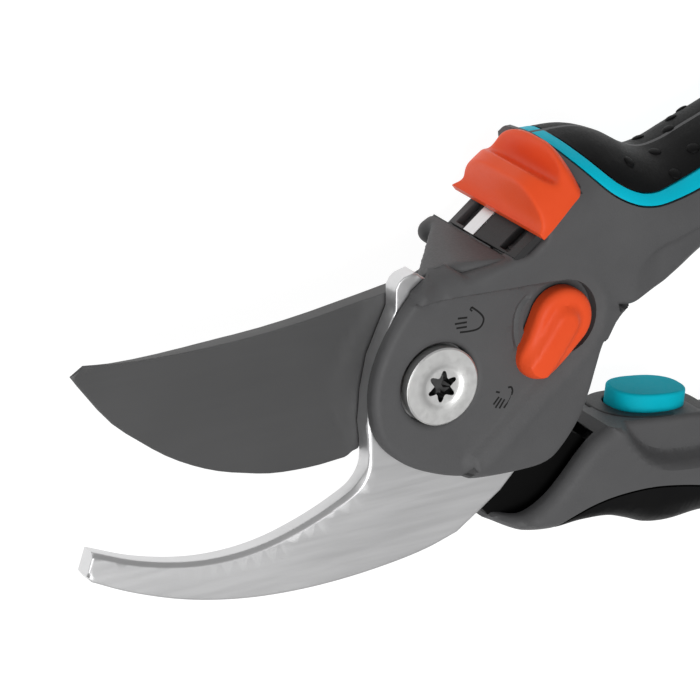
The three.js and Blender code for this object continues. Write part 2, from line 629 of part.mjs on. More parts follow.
function addLever() {
  const hubR = 5.8;
  const tipR = 4.2;
  const [hx, hy] = LEVER_HUB;
  const [tx, ty] = LEVER_TIP;
  const dir = THREE.MathUtils.radToDeg(Math.atan2(ty - hy, tx - hx));
  const lean = THREE.MathUtils.radToDeg(Math.acos((hubR - tipR) / Math.hypot(tx - hx, ty - hy)));
  const loop = [
    ...arc(hx, hy, hubR, dir + lean, dir + 360 - lean, 20),
    ...arc(tx, ty, tipR, dir - lean, dir + lean, 12),
  ];
  const body = roundedPlate(loop, 27.8, 30.8, 1.2, 0, 2);
  addPart('grip_width_lever', cut(
    union(body, disc(hx, hy, 26.3, 28.4, 5.4, 32)), disc(hx, hy, 20, 29.3, 1.7, 20),
  ), ORANGE);
  addPart('lever_pin', disc(hx, hy, 20.8, 29, 1.4, 20), STEEL);
}

function addButtonAndPort() {
  const [bx, by] = BUTTON_AT;
  addPart('power_button', union(disc(bx, by, 25, 28.6, 4, 28), disc(bx, by, 23.4, 25.1, 2.2, 20)), ORANGE);
  addPart('status_light', disc(...LIGHT_AT, 25.2, 28.1, 1.6, 20), LENS);
  addPart('button_switch', box(bx - 2.2, bx + 2.2, by - 2, by + 2, 18.6, 21.6), DARK);
}

// ---- lower handle -----------------------------------------------------------------------------
function lowerOuter(inset = 0) {
  return roundedPlate(lowerLoop, 0, LOWER_TOP, 5.5, inset, 2);
}

// An oval prism that stands on the tilted buffer seat.
function bufferOval(a, b, n0, n1) {
  const g = new THREE.CylinderGeometry(1, 1, n1 - n0, 40);
  const position = g.attributes.position;
  for (let i = 0; i < position.count; i += 1) {
    const x = position.getX(i);
    const z = position.getZ(i);
    const sum = Math.abs(x) ** BUFFER_SQUARENESS + Math.abs(z) ** BUFFER_SQUARENESS;
    const grow = sum > 0 ? sum ** (-1 / BUFFER_SQUARENESS) : 0;
    position.setX(i, x * grow);
    position.setZ(i, z * grow);
  }
  g.scale(a, 1, b);
  g.translate(0, (n0 + n1) / 2, 0);
  g.rotateZ(BUFFER_TILT);
  g.translate(BUFFER_AT[0], BUFFER_AT[1], LOWER_SPLIT);
  return solid(g);
}

const LOWER_SCREWS = [[78, -32.6], [146, -50.2]];
const TANG_PINS = [[47, -30.9], [64, -33.6]];

function lowerBody() {
  const lip = roundedPlate(lipLoop, 0, LOWER_TOP, 0.7, 0, 2);
  let body = cut(lowerOuter().add(lip), plate(lowerCavity, WALL, LOWER_TOP - WALL));
  body = body.add(bufferOval(11, 9.3, -8, -4.5));
  const skinZone = zoneAbove(lowerGripLine, 0, -60).subtract(lowerOuter(SKIN + GAP));
  body = body.subtract(skinZone);
  TANG_PINS.forEach(([x, y]) => {
    body = body.add(disc(x, y, 2.2, 16.5, 3.6, 20)).add(disc(x, y, 20.5, 22.8, 3.6, 20));
    body = body.subtract(disc(x, y, 3.4, 21.8, 2.3, 20));
  });
  LOWER_SCREWS.forEach(([x, y]) => {
    body = body.add(disc(x, y, 1, 24, 2.7, 16).intersect(lowerOuter(SKIN + GAP)));
    body = cut(body, disc(x, y, -1, 20, 1.4, 12), disc(x, y, -1, 2.9, 2.9, 16));
  });
  const tangSlot = shifted([...tangLoop, tangLoop[0], tangLoop[1]], -0.4).slice(0, -1);
  return cut(
    body,
    plate(tangSlot, CUTTER_Z[0] - GAP, CUTTER_Z[1] + GAP),
    bufferOval(9.2, 7.3, -6.3, 10),
    bufferOval(10.5, 8.3, -4.4, 10),
  );
}

function addLowerHandle() {
  const body = lowerBody();
  const big = 400;
  addPart('lower_shell_near', keepLargest(
    body.intersect(box(-big, big, -big, big, LOWER_SPLIT + GAP / 2, 60))), GREY);
  addPart('lower_shell_far', keepLargest(
    body.intersect(box(-big, big, -big, big, -10, LOWER_SPLIT - GAP / 2))), GREY);
  const skin = lowerOuter().subtract(lowerOuter(SKIN));
  addPart('lower_soft_grip', keepLargest(skin.intersect(zoneAbove(lowerGripLine, -GAP, -60))), BLACK);
  addPart('buffer_collar', cut(
    union(bufferOval(8.9, 7, -6, -3.6), bufferOval(10.2, 8, -4.1, -3.2)), bufferOval(7.8, 5.8, -7, 2),
  ), DARK);
  addPart('soft_stop', bufferOval(7.5, 5.5, -4.6, 0), TEAL);
  TANG_PINS.forEach(([x, y], i) => {
    addPart(`tang_pin_${i + 1}`, disc(x, y, 3.7, 21.5, 2.0, 20), STEEL);
  });
}

function addScrews() {
  const screw = (x, y) => union(disc(x, y, 0.7, 2.6, 2.5, 20), disc(x, y, 2.5, 18, 1.1, 14))
    .subtract(disc(x, y, 0, 1.8, 1.1, 6));
  SCREWS.forEach(([x, y], i) => addPart(`upper_screw_${i + 1}`, screw(x, y), STEEL));
  LOWER_SCREWS.forEach(([x, y], i) => addPart(`lower_screw_${i + 1}`, screw(x, y), STEEL));
}

addUpperHandle();
addBlades();
addDrive();
addPivot();
addSlider();
addLever();
addButtonAndPort();
addLowerHandle();
addScrews();

export default root;
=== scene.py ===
"""Looks of the power assisted bypass pruner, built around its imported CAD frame.

Lengths in the helpers are millimetres in the frame's axes: the pivot is the Z axis, the jaws
point to -X, the handles to +X, and the near side faces +Z.
"""

import json
import math

import bmesh
import bpy
import numpy as np
from mathutils import Matrix, Vector
from mathutils.bvhtree import BVHTree
from mathutils.geometry import delaunay_2d_cdt


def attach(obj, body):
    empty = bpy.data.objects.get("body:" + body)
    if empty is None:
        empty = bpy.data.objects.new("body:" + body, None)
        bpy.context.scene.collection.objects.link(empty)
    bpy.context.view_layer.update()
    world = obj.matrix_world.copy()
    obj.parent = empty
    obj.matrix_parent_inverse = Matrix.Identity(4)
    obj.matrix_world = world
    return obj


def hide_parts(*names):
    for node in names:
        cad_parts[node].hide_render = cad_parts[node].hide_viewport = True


MM = 0.001
BODY_TOP = 28.0
LOWER_TOP = 25.0
MID = 14.0
LOWER_MID = 12.5

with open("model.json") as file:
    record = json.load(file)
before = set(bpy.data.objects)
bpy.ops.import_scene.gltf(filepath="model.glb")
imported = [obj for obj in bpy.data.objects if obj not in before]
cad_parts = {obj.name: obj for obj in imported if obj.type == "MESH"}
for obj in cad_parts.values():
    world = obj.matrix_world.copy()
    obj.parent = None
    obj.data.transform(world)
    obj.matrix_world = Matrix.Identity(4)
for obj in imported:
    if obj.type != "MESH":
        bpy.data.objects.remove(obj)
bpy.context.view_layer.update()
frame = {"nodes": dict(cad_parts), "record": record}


# ---- plane geometry -------------------------------------------------------------------------
def spline(points, steps=8, closed=False):
    """A centripetal Catmull-Rom curve through the points."""
    pts = [np.array(p, float) for p in points]
    n = len(pts)
    out = []
    for i in range(n if closed else n - 1):
        p1, p2 = pts[i], pts[(i + 1) % n]
        p0 = pts[i - 1] if closed or i > 0 else 2 * p1 - p2
        p3 = pts[(i + 2) % n] if closed or i + 2 < n else 2 * p2 - p1
        t0 = 0.0
        t1 = t0 + max(np.linalg.norm(p1 - p0), 1e-6) ** 0.5
        t2 = t1 + max(np.linalg.norm(p2 - p1), 1e-6) ** 0.5
        t3 = t2 + max(np.linalg.norm(p3 - p2), 1e-6) ** 0.5
        for k in range(steps):
            t = t1 + (t2 - t1) * k / steps
            a1 = (t1 - t) / (t1 - t0) * p0 + (t - t0) / (t1 - t0) * p1
            a2 = (t2 - t) / (t2 - t1) * p1 + (t - t1) / (t2 - t1) * p2
            a3 = (t3 - t) / (t3 - t2) * p2 + (t - t2) / (t3 - t2) * p3
            b1 = (t2 - t) / (t2 - t0) * a1 + (t - t0) / (t2 - t0) * a2
            b2 = (t3 - t) / (t3 - t1) * a2 + (t - t1) / (t3 - t1) * a3
            out.append((t2 - t) / (t2 - t1) * b1 + (t - t1) / (t2 - t1) * b2)
    if not closed:
        out.append(pts[-1])
    return [tuple(p) for p in out]


def arc(cx, cy, r, start, end, steps):
    angles = np.radians(np.linspace(start, end, steps + 1))
    return [(cx + r * math.cos(a), cy + r * math.sin(a)) for a in angles]


def circle(cx, cy, r, steps=48):
    return arc(cx, cy, r, 0, 360 - 360 / steps, steps - 1)


def shifted(line, amount):
    """The line moved to its left by amount."""
    p = np.array(line, float)
    before = np.vstack([p[:1], p[:-1]])
    after = np.vstack([p[1:], p[-1:]])
    d = after - before
    d /= np.linalg.norm(d, axis=1)[:, None]
    return [tuple(q) for q in p + np.c_[-d[:, 1], d[:, 0]] * amount]


def smooth(low, high, x):
    t = np.clip((np.asarray(x, float) - low) / (high - low), 0, 1)
    return t * t * (3 - 2 * t)


def mix(a, b, t):
    return a * (1 - t) + b * t


def inside(loop, p):
    a = np.array(loop, float)
    b = np.roll(a, -1, axis=0)
    hit = np.zeros(len(p), bool)
    for (x0, y0), (x1, y1) in zip(a, b):
        if y0 == y1:
            continue
        crosses = (p[:, 1] > min(y0, y1)) & (p[:, 1] <= max(y0, y1))
        hit ^= crosses & (p[:, 0] < x0 + (p[:, 1] - y0) / (y1 - y0) * (x1 - x0))
    return hit


def distance(lines, p, closed=True):
    """Distance of each point to the nearest of the lines."""
    best = np.full(len(p), 1e9)
    for line in lines:
        a = np.array(line, float)
        b = np.roll(a, -1, axis=0)
        if not closed:
            a, b = a[:-1], b[:-1]
        for start in range(0, len(p), 2000):
            q = p[start:start + 2000, None, :]
            d = b - a
            t = ((q - a) * d).sum(2) / np.maximum((d * d).sum(1), 1e-12)
            near = a + np.clip(t, 0, 1)[:, :, None] * d
            gap = np.linalg.norm(q - near, axis=2).min(1)
            best[start:start + 2000] = np.minimum(best[start:start + 2000], gap)
    return best


def triangulate(loops, lines, points, keep):
    verts, edges = [], []
    for group, closed in ((loops, True), (lines, False)):
        for line in group:
            base, m = len(verts), len(line)
            verts.extend(Vector(q) for q in line)
            edges.extend((base + i, base + (i + 1) % m) for i in range(m if closed else m - 1))
    verts.extend(Vector(q) for q in points)
    out = delaunay_2d_cdt(verts, edges, [], 0, 1e-4, False)
    v = np.array([[q.x, q.y] for q in out[0]])
    tri = np.array([f for f in out[2] if len(f) == 3])
    return v, tri[keep(v[tri].mean(1))]


def outline_of(v, tri):
    """The closed boundary loops of a set of triangles, with the inside on their left."""
    count = {}
    for a, b, c in tri:
        for e in ((a, b), (b, c), (c, a)):
            count[e] = count.get(e, 0) + 1
    follow = {a: b for a, b in count if (b, a) not in count}
    loops = []
    while follow:
        first, here = next(iter(follow.items()))
        del follow[first]
        loop = [first]
        while here != first:
            loop.append(here)
            here = follow.pop(here)
        loops.append([tuple(v[i]) for i in loop])
    return loops


def subdivided(loop, longest):
    out = []
    for p, q in zip(loop, loop[1:] + loop[:1]):
        parts = max(1, math.ceil(math.dist(p, q) / longest))
        out.extend(tuple(np.array(p) + (np.array(q) - np.array(p)) * k / parts) for k in range(parts))
    return out


# ---- solids ---------------------------------------------------------------------------------
def new_object(name, verts, faces, sharp=38):
    mesh = bpy.data.meshes.new(name)
    mesh.from_pydata([tuple(MM * c for c in v) for v in verts], [], [tuple(f) for f in faces])
    bm = bmesh.new()
    bm.from_mesh(mesh)
    bmesh.ops.remove_doubles(bm, verts=bm.verts, dist=1e-6)
    bmesh.ops.dissolve_degenerate(bm, edges=bm.edges, dist=1e-6)
    bmesh.ops.recalc_face_normals(bm, faces=bm.faces)
    bm.to_mesh(mesh)
    bm.free()
    obj = bpy.data.objects.new(name, mesh)
    bpy.context.scene.collection.objects.link(obj)
    shade(obj, sharp)
    return obj


def shade(obj, sharp=38):
    obj.data.shade_smooth()
    obj.data.set_sharp_from_angle(angle=math.radians(sharp))
    weigh = obj.modifiers.new("normals", "WEIGHTED_NORMAL")
    weigh.keep_sharp = True
    weigh.weight = 80


def slab(name, add, top, bottom, cut=(), rings=(), step=3.0, lines=(), points=(), longest=0.9,
         mirror_at=None, sharp=38):
    """A solid between the surfaces top(x, y, d) and bottom(x, y, d), where d is the distance to the edge.

    rings are the distances from the edge that get a row of vertices. mirror_at welds the solid to its
    mirror image in that Z plane, where bottom lies.
    """
    add, cut = [list(a) for a in add], [list(c) for c in cut]

    def wanted(c):
        ok = np.zeros(len(c), bool)
        for loop in add:
            ok |= inside(loop, c)
        for loop in cut:
            ok &= ~inside(loop, c)
        return ok

    v, tri = triangulate(add + cut, [], [], wanted)
    loops = [subdivided(loop, longest) for loop in outline_of(v, tri)]

    def kept(c):
        odd = np.zeros(len(c), bool)
        for loop in loops:
            odd ^= inside(loop, c)
        return odd

    extra = [np.array(points, float).reshape(-1, 2)]
    for r in rings:
        for loop in loops:
            a = np.array(loop)
            before, after = np.roll(a, 1, axis=0), np.roll(a, -1, axis=0)
            d = after - before
            d /= np.maximum(np.linalg.norm(d, axis=1), 1e-9)[:, None]
            q = a + np.c_[-d[:, 1], d[:, 0]] * r
            q = q[kept(q)]
            if len(q):
                extra.append(q[distance(loops, q) > 0.94 * r])
    low = np.min([np.min(loop, axis=0) for loop in loops], axis=0)
    high = np.max([np.max(loop, axis=0) for loop in loops], axis=0)
    gx, gy = np.meshgrid(np.arange(low[0], high[0], step), np.arange(low[1], high[1], step))
    gx = gx + (np.arange(gx.shape[0]) % 2)[:, None] * step / 2
    grid = np.c_[gx.ravel(), gy.ravel()]
    grid = grid[kept(grid)]
    widest = max(rings) if rings else 0.3
    grid = grid[distance(loops, grid) > widest + 0.35 * step]
    if lines:
        grid = grid[distance(lines, grid, closed=False) > 0.4]
    extra.append(grid)
    pts = np.vstack(extra)
    v, tri = triangulate(loops, list(lines), pts, kept)
    d = distance(loops, v)
    x, y = v[:, 0], v[:, 1]
    z1 = np.broadcast_to(top(x, y, d), x.shape)
    z0 = np.broadcast_to(bottom(x, y, d), x.shape)
    n = len(v)
    verts = [(*p, z) for p, z in zip(v, z1)]
    faces = [tuple(t) for t in tri]
    edges = {e: True for a, b, c in tri for e in ((a, b), (b, c), (c, a))}
    rim = [e for e in edges if (e[1], e[0]) not in edges]
    verts += [(*p, z) for p, z in zip(v, z0)]
    if mirror_at is None:
        faces += [(c + n, b + n, a + n) for a, b, c in tri]
        faces += [(a, a + n, b + n, b) for a, b in rim]
    else:
        half = len(verts)
        flat = np.abs(z0 - mirror_at) < 1e-6
        faces += [(c + n, b + n, a + n) for a, b, c in tri if not (flat[a] and flat[b] and flat[c])]
        faces += [(a, a + n, b + n, b) for a, b in rim]
        faces += [tuple(i + half for i in reversed(f)) for f in faces]
        verts += [(p[0], p[1], 2 * mirror_at - p[2]) for p in verts]
    return new_object(name, verts, faces, sharp)


def rounding(d, r):
    """How far a quarter round of radius r drops at distance d from the edge."""
    gap = np.clip(r - d, 0, None)
    return r - np.sqrt(np.clip(r * r - gap * gap, 0, None))


def finish_piece(obj, body, material, nodes=()):
    obj.data.materials.clear()
    obj.data.materials.append(material)
    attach(obj, body)
    if nodes:
        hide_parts(*nodes)
    return obj


def softened(name, node, width=0.35, segments=2, sharp=38, angle=32):
    """A copy of a CAD node with its edges rounded."""
    source = frame["nodes"][node]
    mesh = source.data.copy()
    mesh.name = name
    bm = bmesh.new()
    bm.from_mesh(mesh)
    bmesh.ops.remove_doubles(bm, verts=bm.verts, dist=2e-6)
    bmesh.ops.dissolve_limit(bm, angle_limit=math.radians(1.0), verts=bm.verts, edges=bm.edges)
    bmesh.ops.recalc_face_normals(bm, faces=bm.faces)
    bm.to_mesh(mesh)
    bm.free()
    obj = bpy.data.objects.new(name, mesh)
    bpy.context.scene.collection.objects.link(obj)
    bevel = obj.modifiers.new("edges", "BEVEL")
    bevel.width = width * MM
    bevel.segments = segments
    bevel.limit_method = "ANGLE"
    bevel.angle_limit = math.radians(angle)
    bevel.use_clamp_overlap = True
    bevel.miter_outer = "MITER_ARC"
    shade(obj, sharp)
    return obj


def cad_underside(node, top, open_below, wall):
    """A bottom for slab: the lowest surface of a CAD node, or open_below(x) beside it, in mm."""
    mesh = frame["nodes"][node].data
    polygons = [tuple(p.vertices) for p in mesh.polygons]
    tree = BVHTree.FromPolygons([v.co / MM for v in mesh.vertices], polygons)
    around = ((0, 0), (0.5, 0), (-0.5, 0), (0, 0.5), (0, -0.5))

    def bottom(x, y, d):
        out = open_below(x)
        for i, (px, py) in enumerate(zip(x, y)):
            hits = [tree.ray_cast(Vector((px + a, py + b, -20)), Vector((0, 0, 1)))[0] for a, b in around]
            found = [hit.z for hit in hits if hit is not None]
            if found:
                out[i] = max(found)
        return np.minimum(out, top(x, y, d) - wall)

    return bottom


# ---- materials ------------------------------------------------------------------------------
class Nodes:
    """Short names for building one node material."""

    def __init__(self, name):
        self.material = bpy.data.materials.new(name)
        self.material.use_nodes = True
        self.tree = self.material.node_tree
        self.shader = self.tree.nodes["Principled BSDF"]
        self.place = self.add("ShaderNodeTexCoord").outputs["Object"]

    def add(self, kind, **values):
        node = self.tree.nodes.new(kind)
        for key, value in values.items():
            setattr(node, key, value)
        return node

    def link(self, source, target):
        self.tree.links.new(source, target)

    def noise(self, scale, detail=3.0, rough=0.55, stretch=None):
        node = self.add("ShaderNodeTexNoise")
        node.inputs["Scale"].default_value = scale
        node.inputs["Detail"].default_value = detail
        node.inputs["Roughness"].default_value = rough
        source = self.place
        if stretch:
            mapping = self.add("ShaderNodeMapping")
            mapping.inputs["Rotation"].default_value = stretch[0]
            mapping.inputs["Scale"].default_value = stretch[1]
            self.link(source, mapping.inputs["Vector"])
            source = mapping.outputs["Vector"]
        self.link(source, node.inputs["Vector"])
        return node.outputs["Fac"]

    def ramp(self, source, low, high, out_low, out_high):
        node = self.add("ShaderNodeMapRange")
        node.inputs["From Min"].default_value = low
        node.inputs["From Max"].default_value = high
        node.inputs["To Min"].default_value = out_low
        node.inputs["To Max"].default_value = out_high
        self.link(source, node.inputs["Value"])
        return node.outputs["Result"]

    def tint(self, factor, a, b):
        node = self.add("ShaderNodeMix", data_type="RGBA")
        node.inputs["A"].default_value = (*a, 1)
        node.inputs["B"].default_value = (*b, 1)
        self.link(factor, node.inputs["Factor"])
        return node.outputs["Result"]

    def bump(self, height, strength, depth, before=None):
        node = self.add("ShaderNodeBump")
        node.inputs["Strength"].default_value = strength
        node.inputs["Distance"].default_value = depth * MM
        self.link(height, node.inputs["Height"])
        if before is not None:
            self.link(before, node.inputs["Normal"])
        return node.outputs["Normal"]

    def set(self, **values):
        for key, value in values.items():
            self.shader.inputs[key.replace("_", " ")].default_value = value


def plastic(name, dark, light, rough, grain=3200.0, grain_depth=0.02, wear=0.06, gloss=0.25):
    """Moulded plastic: spark-eroded grain, cloudy gloss and faint rub marks."""
    n = Nodes(name)
    cloud = n.noise(90, 4, 0.6)
    fine = n.noise(grain, 2, 0.5)
    rub = n.noise(420, 5, 0.7, ((0.3, 0.2, 0.6), (1.0, 5.0, 1.0)))
    n.link(n.tint(n.ramp(cloud, 0.3, 0.7, 0, 1), dark, light), n.shader.inputs["Base Color"])
    base = n.ramp(fine, 0.3, 0.7, rough - 0.05, rough + 0.06)
    worn = n.ramp(rub, 0.62, 0.8, 0.0, -wear)
    total = n.add("ShaderNodeMath", operation="ADD")
    n.link(base, total.inputs[0])
    n.link(worn, total.inputs[1])
    n.link(total.outputs[0], n.shader.inputs["Roughness"])
    first = n.bump(fine, 0.55, grain_depth)
    n.link(n.bump(cloud, 0.2, 0.05, first), n.shader.inputs["Normal"])
    n.set(Specular_IOR_Level=gloss)
    return n.material


def metal(name, dark, light, rough, stretch, scale=700.0, depth=0.002, metallic=1.0, painted_shade_from=None):
    """Metal with a fine ground grain along one direction. Beyond the X given in mm by the shade argument it
    gets painted shade: near-black colour and weak specular.
    """
    n = Nodes(name)
    line = n.noise(scale, 3, 0.6, stretch)
    cloud = n.noise(45, 2, 0.5)
    color = n.tint(n.ramp(cloud, 0.3, 0.7, 0, 1), dark, light)
    # painted shade: beyond that X the colour fades to near-black and the specular drops
    if painted_shade_from is not None:
        place = n.add("ShaderNodeSeparateXYZ")
        n.link(n.place, place.inputs[0])
        painted_shade_mask = n.ramp(place.outputs["X"], painted_shade_from * MM, (painted_shade_from + 3) * MM, 0, 1)
        painted_shade_mix = n.add("ShaderNodeMix", data_type="RGBA")
        n.link(painted_shade_mask, painted_shade_mix.inputs["Factor"])
        n.link(color, painted_shade_mix.inputs["A"])
        painted_shade_mix.inputs["B"].default_value = (0.0035, 0.0035, 0.0035, 1)
        color = painted_shade_mix.outputs["Result"]
        n.link(n.ramp(painted_shade_mask, 0, 1, 0.35, 0.06), n.shader.inputs["Specular IOR Level"])
    n.link(color, n.shader.inputs["Base Color"])
    n.link(n.ramp(line, 0.3, 0.7, rough - 0.03, rough + 0.05), n.shader.inputs["Roughness"])
    fine = n.noise(2600, 2, 0.5)
    first = n.bump(line, 0.35, depth)
    n.link(n.bump(fine, 0.3, depth * 0.6, first), n.shader.inputs["Normal"])
    n.set(Metallic=metallic)
    return n.material


# rotation and scale of the grain
along_blade = ((0, 0, math.radians(-12)), (0.06, 1.0, 1.0))
even = ((0, 0, 0), (1, 1, 1))
GREY = plastic("grey_plastic", (0.078, 0.078, 0.080), (0.088, 0.088, 0.090), 0.56,
               grain=2600, grain_depth=0.05)
RUBBER = plastic("black_soft_grip", (0.0045, 0.0045, 0.0047), (0.0065, 0.0065, 0.0067), 0.5,
                 grain=2400, grain_depth=0.03, gloss=0.07)
DARK = plastic("dark_plastic", (0.024, 0.024, 0.025), (0.030, 0.030, 0.031), 0.5)
# darker copy of the bolt steel: painted shade for the drive socket's recess
SOCKET_SHADE = metal("socket_painted_shade", (0.10, 0.10, 0.10), (0.16, 0.16, 0.16), 0.35, even, scale=900)
# near-black lines: painted shade for the shadow inside the engraved hand icons
SIGN_SHADE = plastic("engraved_lines_painted_shade", (0.006, 0.006, 0.006), (0.009, 0.009, 0.009), 0.7)
ORANGE = plastic("orange_plastic", (0.76, 0.075, 0.018), (0.80, 0.088, 0.022), 0.42,
                 grain=2600, grain_depth=0.008, gloss=0.14)
TEAL = plastic("teal_plastic", (0.0, 0.44, 0.58), (0.0, 0.47, 0.62), 0.5, grain_depth=0.01, gloss=0.1)
STOP = plastic("teal_elastomer", (0.0, 0.41, 0.52), (0.0, 0.45, 0.57), 0.7,
               grain=1500, grain_depth=0.015, gloss=0.1)
STEEL = metal("bright_blade_steel", (0.66, 0.66, 0.665), (0.70, 0.70, 0.705), 0.42, along_blade)
BOLT = metal("turned_steel", (0.80, 0.80, 0.79), (0.84, 0.84, 0.83), 0.40, even, scale=900)
# the coating's grey, with painted shade beyond X = 3 mm where the tang lies in the housing's shadow
COATED = metal("non_stick_coating_and_painted_shade", (0.062, 0.062, 0.063), (0.07, 0.07, 0.071), 0.42, along_blade,
               metallic=0.0, painted_shade_from=3)
HIDDEN = metal("plain_steel", (0.42, 0.42, 0.42), (0.5, 0.5, 0.5), 0.35, along_blade)
BRASS = metal("brass", (0.55, 0.38, 0.14), (0.62, 0.44, 0.18), 0.32, along_blade)
BOARD = plastic("board", (0.012, 0.09, 0.03), (0.02, 0.13, 0.05), 0.4)
CELL = plastic("cell_sleeve", (0.02, 0.08, 0.3), (0.03, 0.11, 0.38), 0.3)
LENS = plastic("status_lens", (0.4, 0.75, 0.45), (0.5, 0.85, 0.55), 0.15)
SLOT_LOOK = {
    "grey_shell": GREY, "soft_grip": RUBBER, "accent": TEAL, "soft_stop": STOP, "dark_plastic": DARK,
    "orange_plastic": ORANGE, "stainless": STEEL, "coated_steel": COATED, "hidden_steel": HIDDEN,
    "brass": BRASS, "board": BOARD, "cell": CELL, "lens": LENS,
}
slot_of = {s["node"]: s["material_slot"] for s in frame["record"]["subparts"]}
body_of = {n: b for b, nodes in frame["record"]["behaviour"]["bodies"].items() for n in nodes}
for node, obj in frame["nodes"].items():
    obj.data.materials.clear()
    obj.data.materials.append(SLOT_LOOK[slot_of[node]])

# ---- outlines of the upper half -------------------------------------------------------------
LEVER_HUB = (24.2, 7.7)
LEVER_TIP = (19.7, 1.5)
BOLT_HOLE_R = 7.35
BUTTON_AT = (76, 27.4)
LIGHT_AT = (88.5, 31.8)
SEAT_START = np.array([14.5, 20.5])
SEAT_ALONG = np.array([0.8, 0.6])
SEAT_UP = np.array([-0.6, 0.8])
SEAT_LENGTH = 17.5
SEAT_LEAN = 0.28
HANDLE_S = 9.5   # edge rounding of the grip in the plane
HANDLE_T = 13.5  # and along Z


def seat(along, up):
    return tuple(SEAT_START + SEAT_ALONG * along + SEAT_UP * up)


near_plate = spline([
    (14.8, 20.6), (5.4, 21), (0.6, 20), (-2.5, 18.5), (-7.5, 13.1), (-10.7, 8.1), (-12.6, 3.1),
    (-13.1, -2), (-12.1, -7.4), (-9.7, -11.2), (-5.4, -14.7), (0.4, -17.4), (5.4, -18.8),
    (10.4, -19.4), (16, -19.6), (20.2, -19.4), (22.6, -18.6), (25.4, -16.1), (28.4, -12.1),
    (30.4, -7.6), (31.9, -3.1), (33.5, 1.2), (36, 4.6),
]) + [(30, 22)]
pear = spline([
    (-4, 15.9), (4, 16), (10, 15.7), (18, 15.3), (24, 14.9), (28.2, 13.8), (31, 11), (31.8, 7.4),
    (30.2, 3), (26, -1), (20, -5.6), (13, -11.6), (7.4, -16),
])
neck_arc = spline([
    (36.4, 4.6), (38.2, 8.4), (39.2, 12.2), (41.4, 15.4), (44.7, 17.3), (49.1, 18.4), (54, 19.9),
    (62, 22.6), (74, 26.4),
])
neck_zone = neck_arc + [(74, 8), (36, 0)]
wing_root = [(-2.5, 18.5), (0.6, 20), (5.4, 21), (14.8, 20.6)]
pear_loop = [(-22, 15.2)] + pear + [(3, -21), (-22, -21)]
upper_side = spline([
    (36, 7.2), (39, 6.7), (42, 6.9), (47, 7.4), (52, 8.8), (57, 10.6), (66, 14.2), (80, 19.5),
    (100, 26.5), (120, 32.5), (140, 37), (153, 39.5), (167, 42.6),
])
upper_back = spline([
    (164.6, 61.2), (150, 59.6), (138, 57.4), (120, 53.2), (98, 46.4), (80, 40.4), (66.4, 35.3), (58.8, 32.6),
    (53.6, 30.8), (49.6, 30.4), (46, 31.7), (41, 34.8), (36, 36.7), (30, 37.1), (24, 37.2), (18, 37),
])
upper_loop = [(24, 12)] + upper_side + upper_back
front_loop = [
    (15.8, 13.4), (20, 11.4), (27, 8), (31, 3), (34, 0.8), (36, 4.2), (37.2, 5.5), (38.4, 6.4),
    (42, 7.4), (45, 9.5), (45, 26), seat(SEAT_LENGTH + 6, -2.4), seat(SEAT_LENGTH, -1.8), seat(0, -1.8),
    seat(0, 0), (13.4, 19.4), (13.6, 15),
]
seat_pocket = [
    seat(0, 0), seat(SEAT_LENGTH, 0), seat(SEAT_LENGTH + SEAT_LEAN * 22, 22), seat(-14, 22), seat(-8, 4),
]
accent_line = spline([
    (24.6, 44), (26.2, 38.2), (30.6, 32.6), (35, 28.3), (40, 25.4), (44, 24.4), (48, 24.4),
    (53, 25.2), (62, 28.2), (78, 34.2), (100, 41), (120, 46.8), (140, 50.6), (161, 52.4),
])


def handle_drop(x, y):
    """How far the outer skin lies below the near face: an elliptic round, small at the head."""
    p = np.c_[x, y]
    under = distance([upper_side], p, closed=False)
    back = distance([upper_back], p, closed=False)
    grow = smooth(38, 62, x)
    drop_side = elliptic(under, mix(2.0, HANDLE_S, grow), mix(2.5, HANDLE_T, grow))
    drop_back = elliptic(back, HANDLE_S, HANDLE_T)
    drop_end = elliptic(distance([[(167, 42.6), (164.6, 61.2)]], p, closed=False), 7, 9)
    inner = inside(upper_loop, p) | (under < 0.05) | (back < 0.05)
    return np.where(inner, np.maximum(np.maximum(drop_side, drop_back), drop_end), 0)


def elliptic(d, s, t):
    """How far an elliptic round, s wide and t high, drops at distance d from the edge."""
    k = np.clip(1 - d / s, 0, 1)
    return t * (1 - np.sqrt(np.clip(1 - k * k, 0, None)))


def upper_top(x, y, d):
    head_edge = rounding(d, 1.3) * (1 - smooth(44, 54, x))
    return BODY_TOP - np.maximum(handle_drop(x, y), head_edge)


UPPER_RINGS = [0.12, 0.3, 0.6, 1.0, 1.5, 2.2, 3.1, 4.3, 5.8, 7.6, 9.4]
PEAR_DEPTH = 1.25
PEAR_RIDGE = 0.34
NECK_DEPTH = 1.5
SHOULDER_ROUND = (6.5, 4.2)   # in the plane, along Z
LEVER_WELL_R = 7.15
LEVER_WELL_FLOOR = 25.9
GROOVE_DEPTH = 0.45
GROOVE_HALF_WIDTH = 0.6
GRIP_REBATE = 1.5
HEAD_END = 34
HEAD_FLOOR = 24.3


def zone_above(line, amount, lift=60):
    """Everything above a line that runs along +X, moved to its left by amount."""
    edge = shifted(line, amount)
    x, y = edge[-1]
    return edge + [(x + 20, y + 1), (x + 20, y + lift), (edge[0][0], y + lift)]


def pear_step(z, x, y, p):
    """The pear-shaped hollow round the bolt and the lever, with a soft ridge along its low side."""
    inner = inside(pear_loop, p)
    gap = distance([pear], p, closed=False)
    low_side = 1 - smooth(-2, 12, y - 0.5 * x + 6)
    z = z - PEAR_DEPTH * np.where(inner, smooth(0, mix(0.8, 3.2, low_side), gap), 0)
    ridge = PEAR_RIDGE * low_side * np.exp(-((gap - 1.6) / 1.1) ** 2)
    return z + np.where(inner, 0, ridge) * (z > 27)


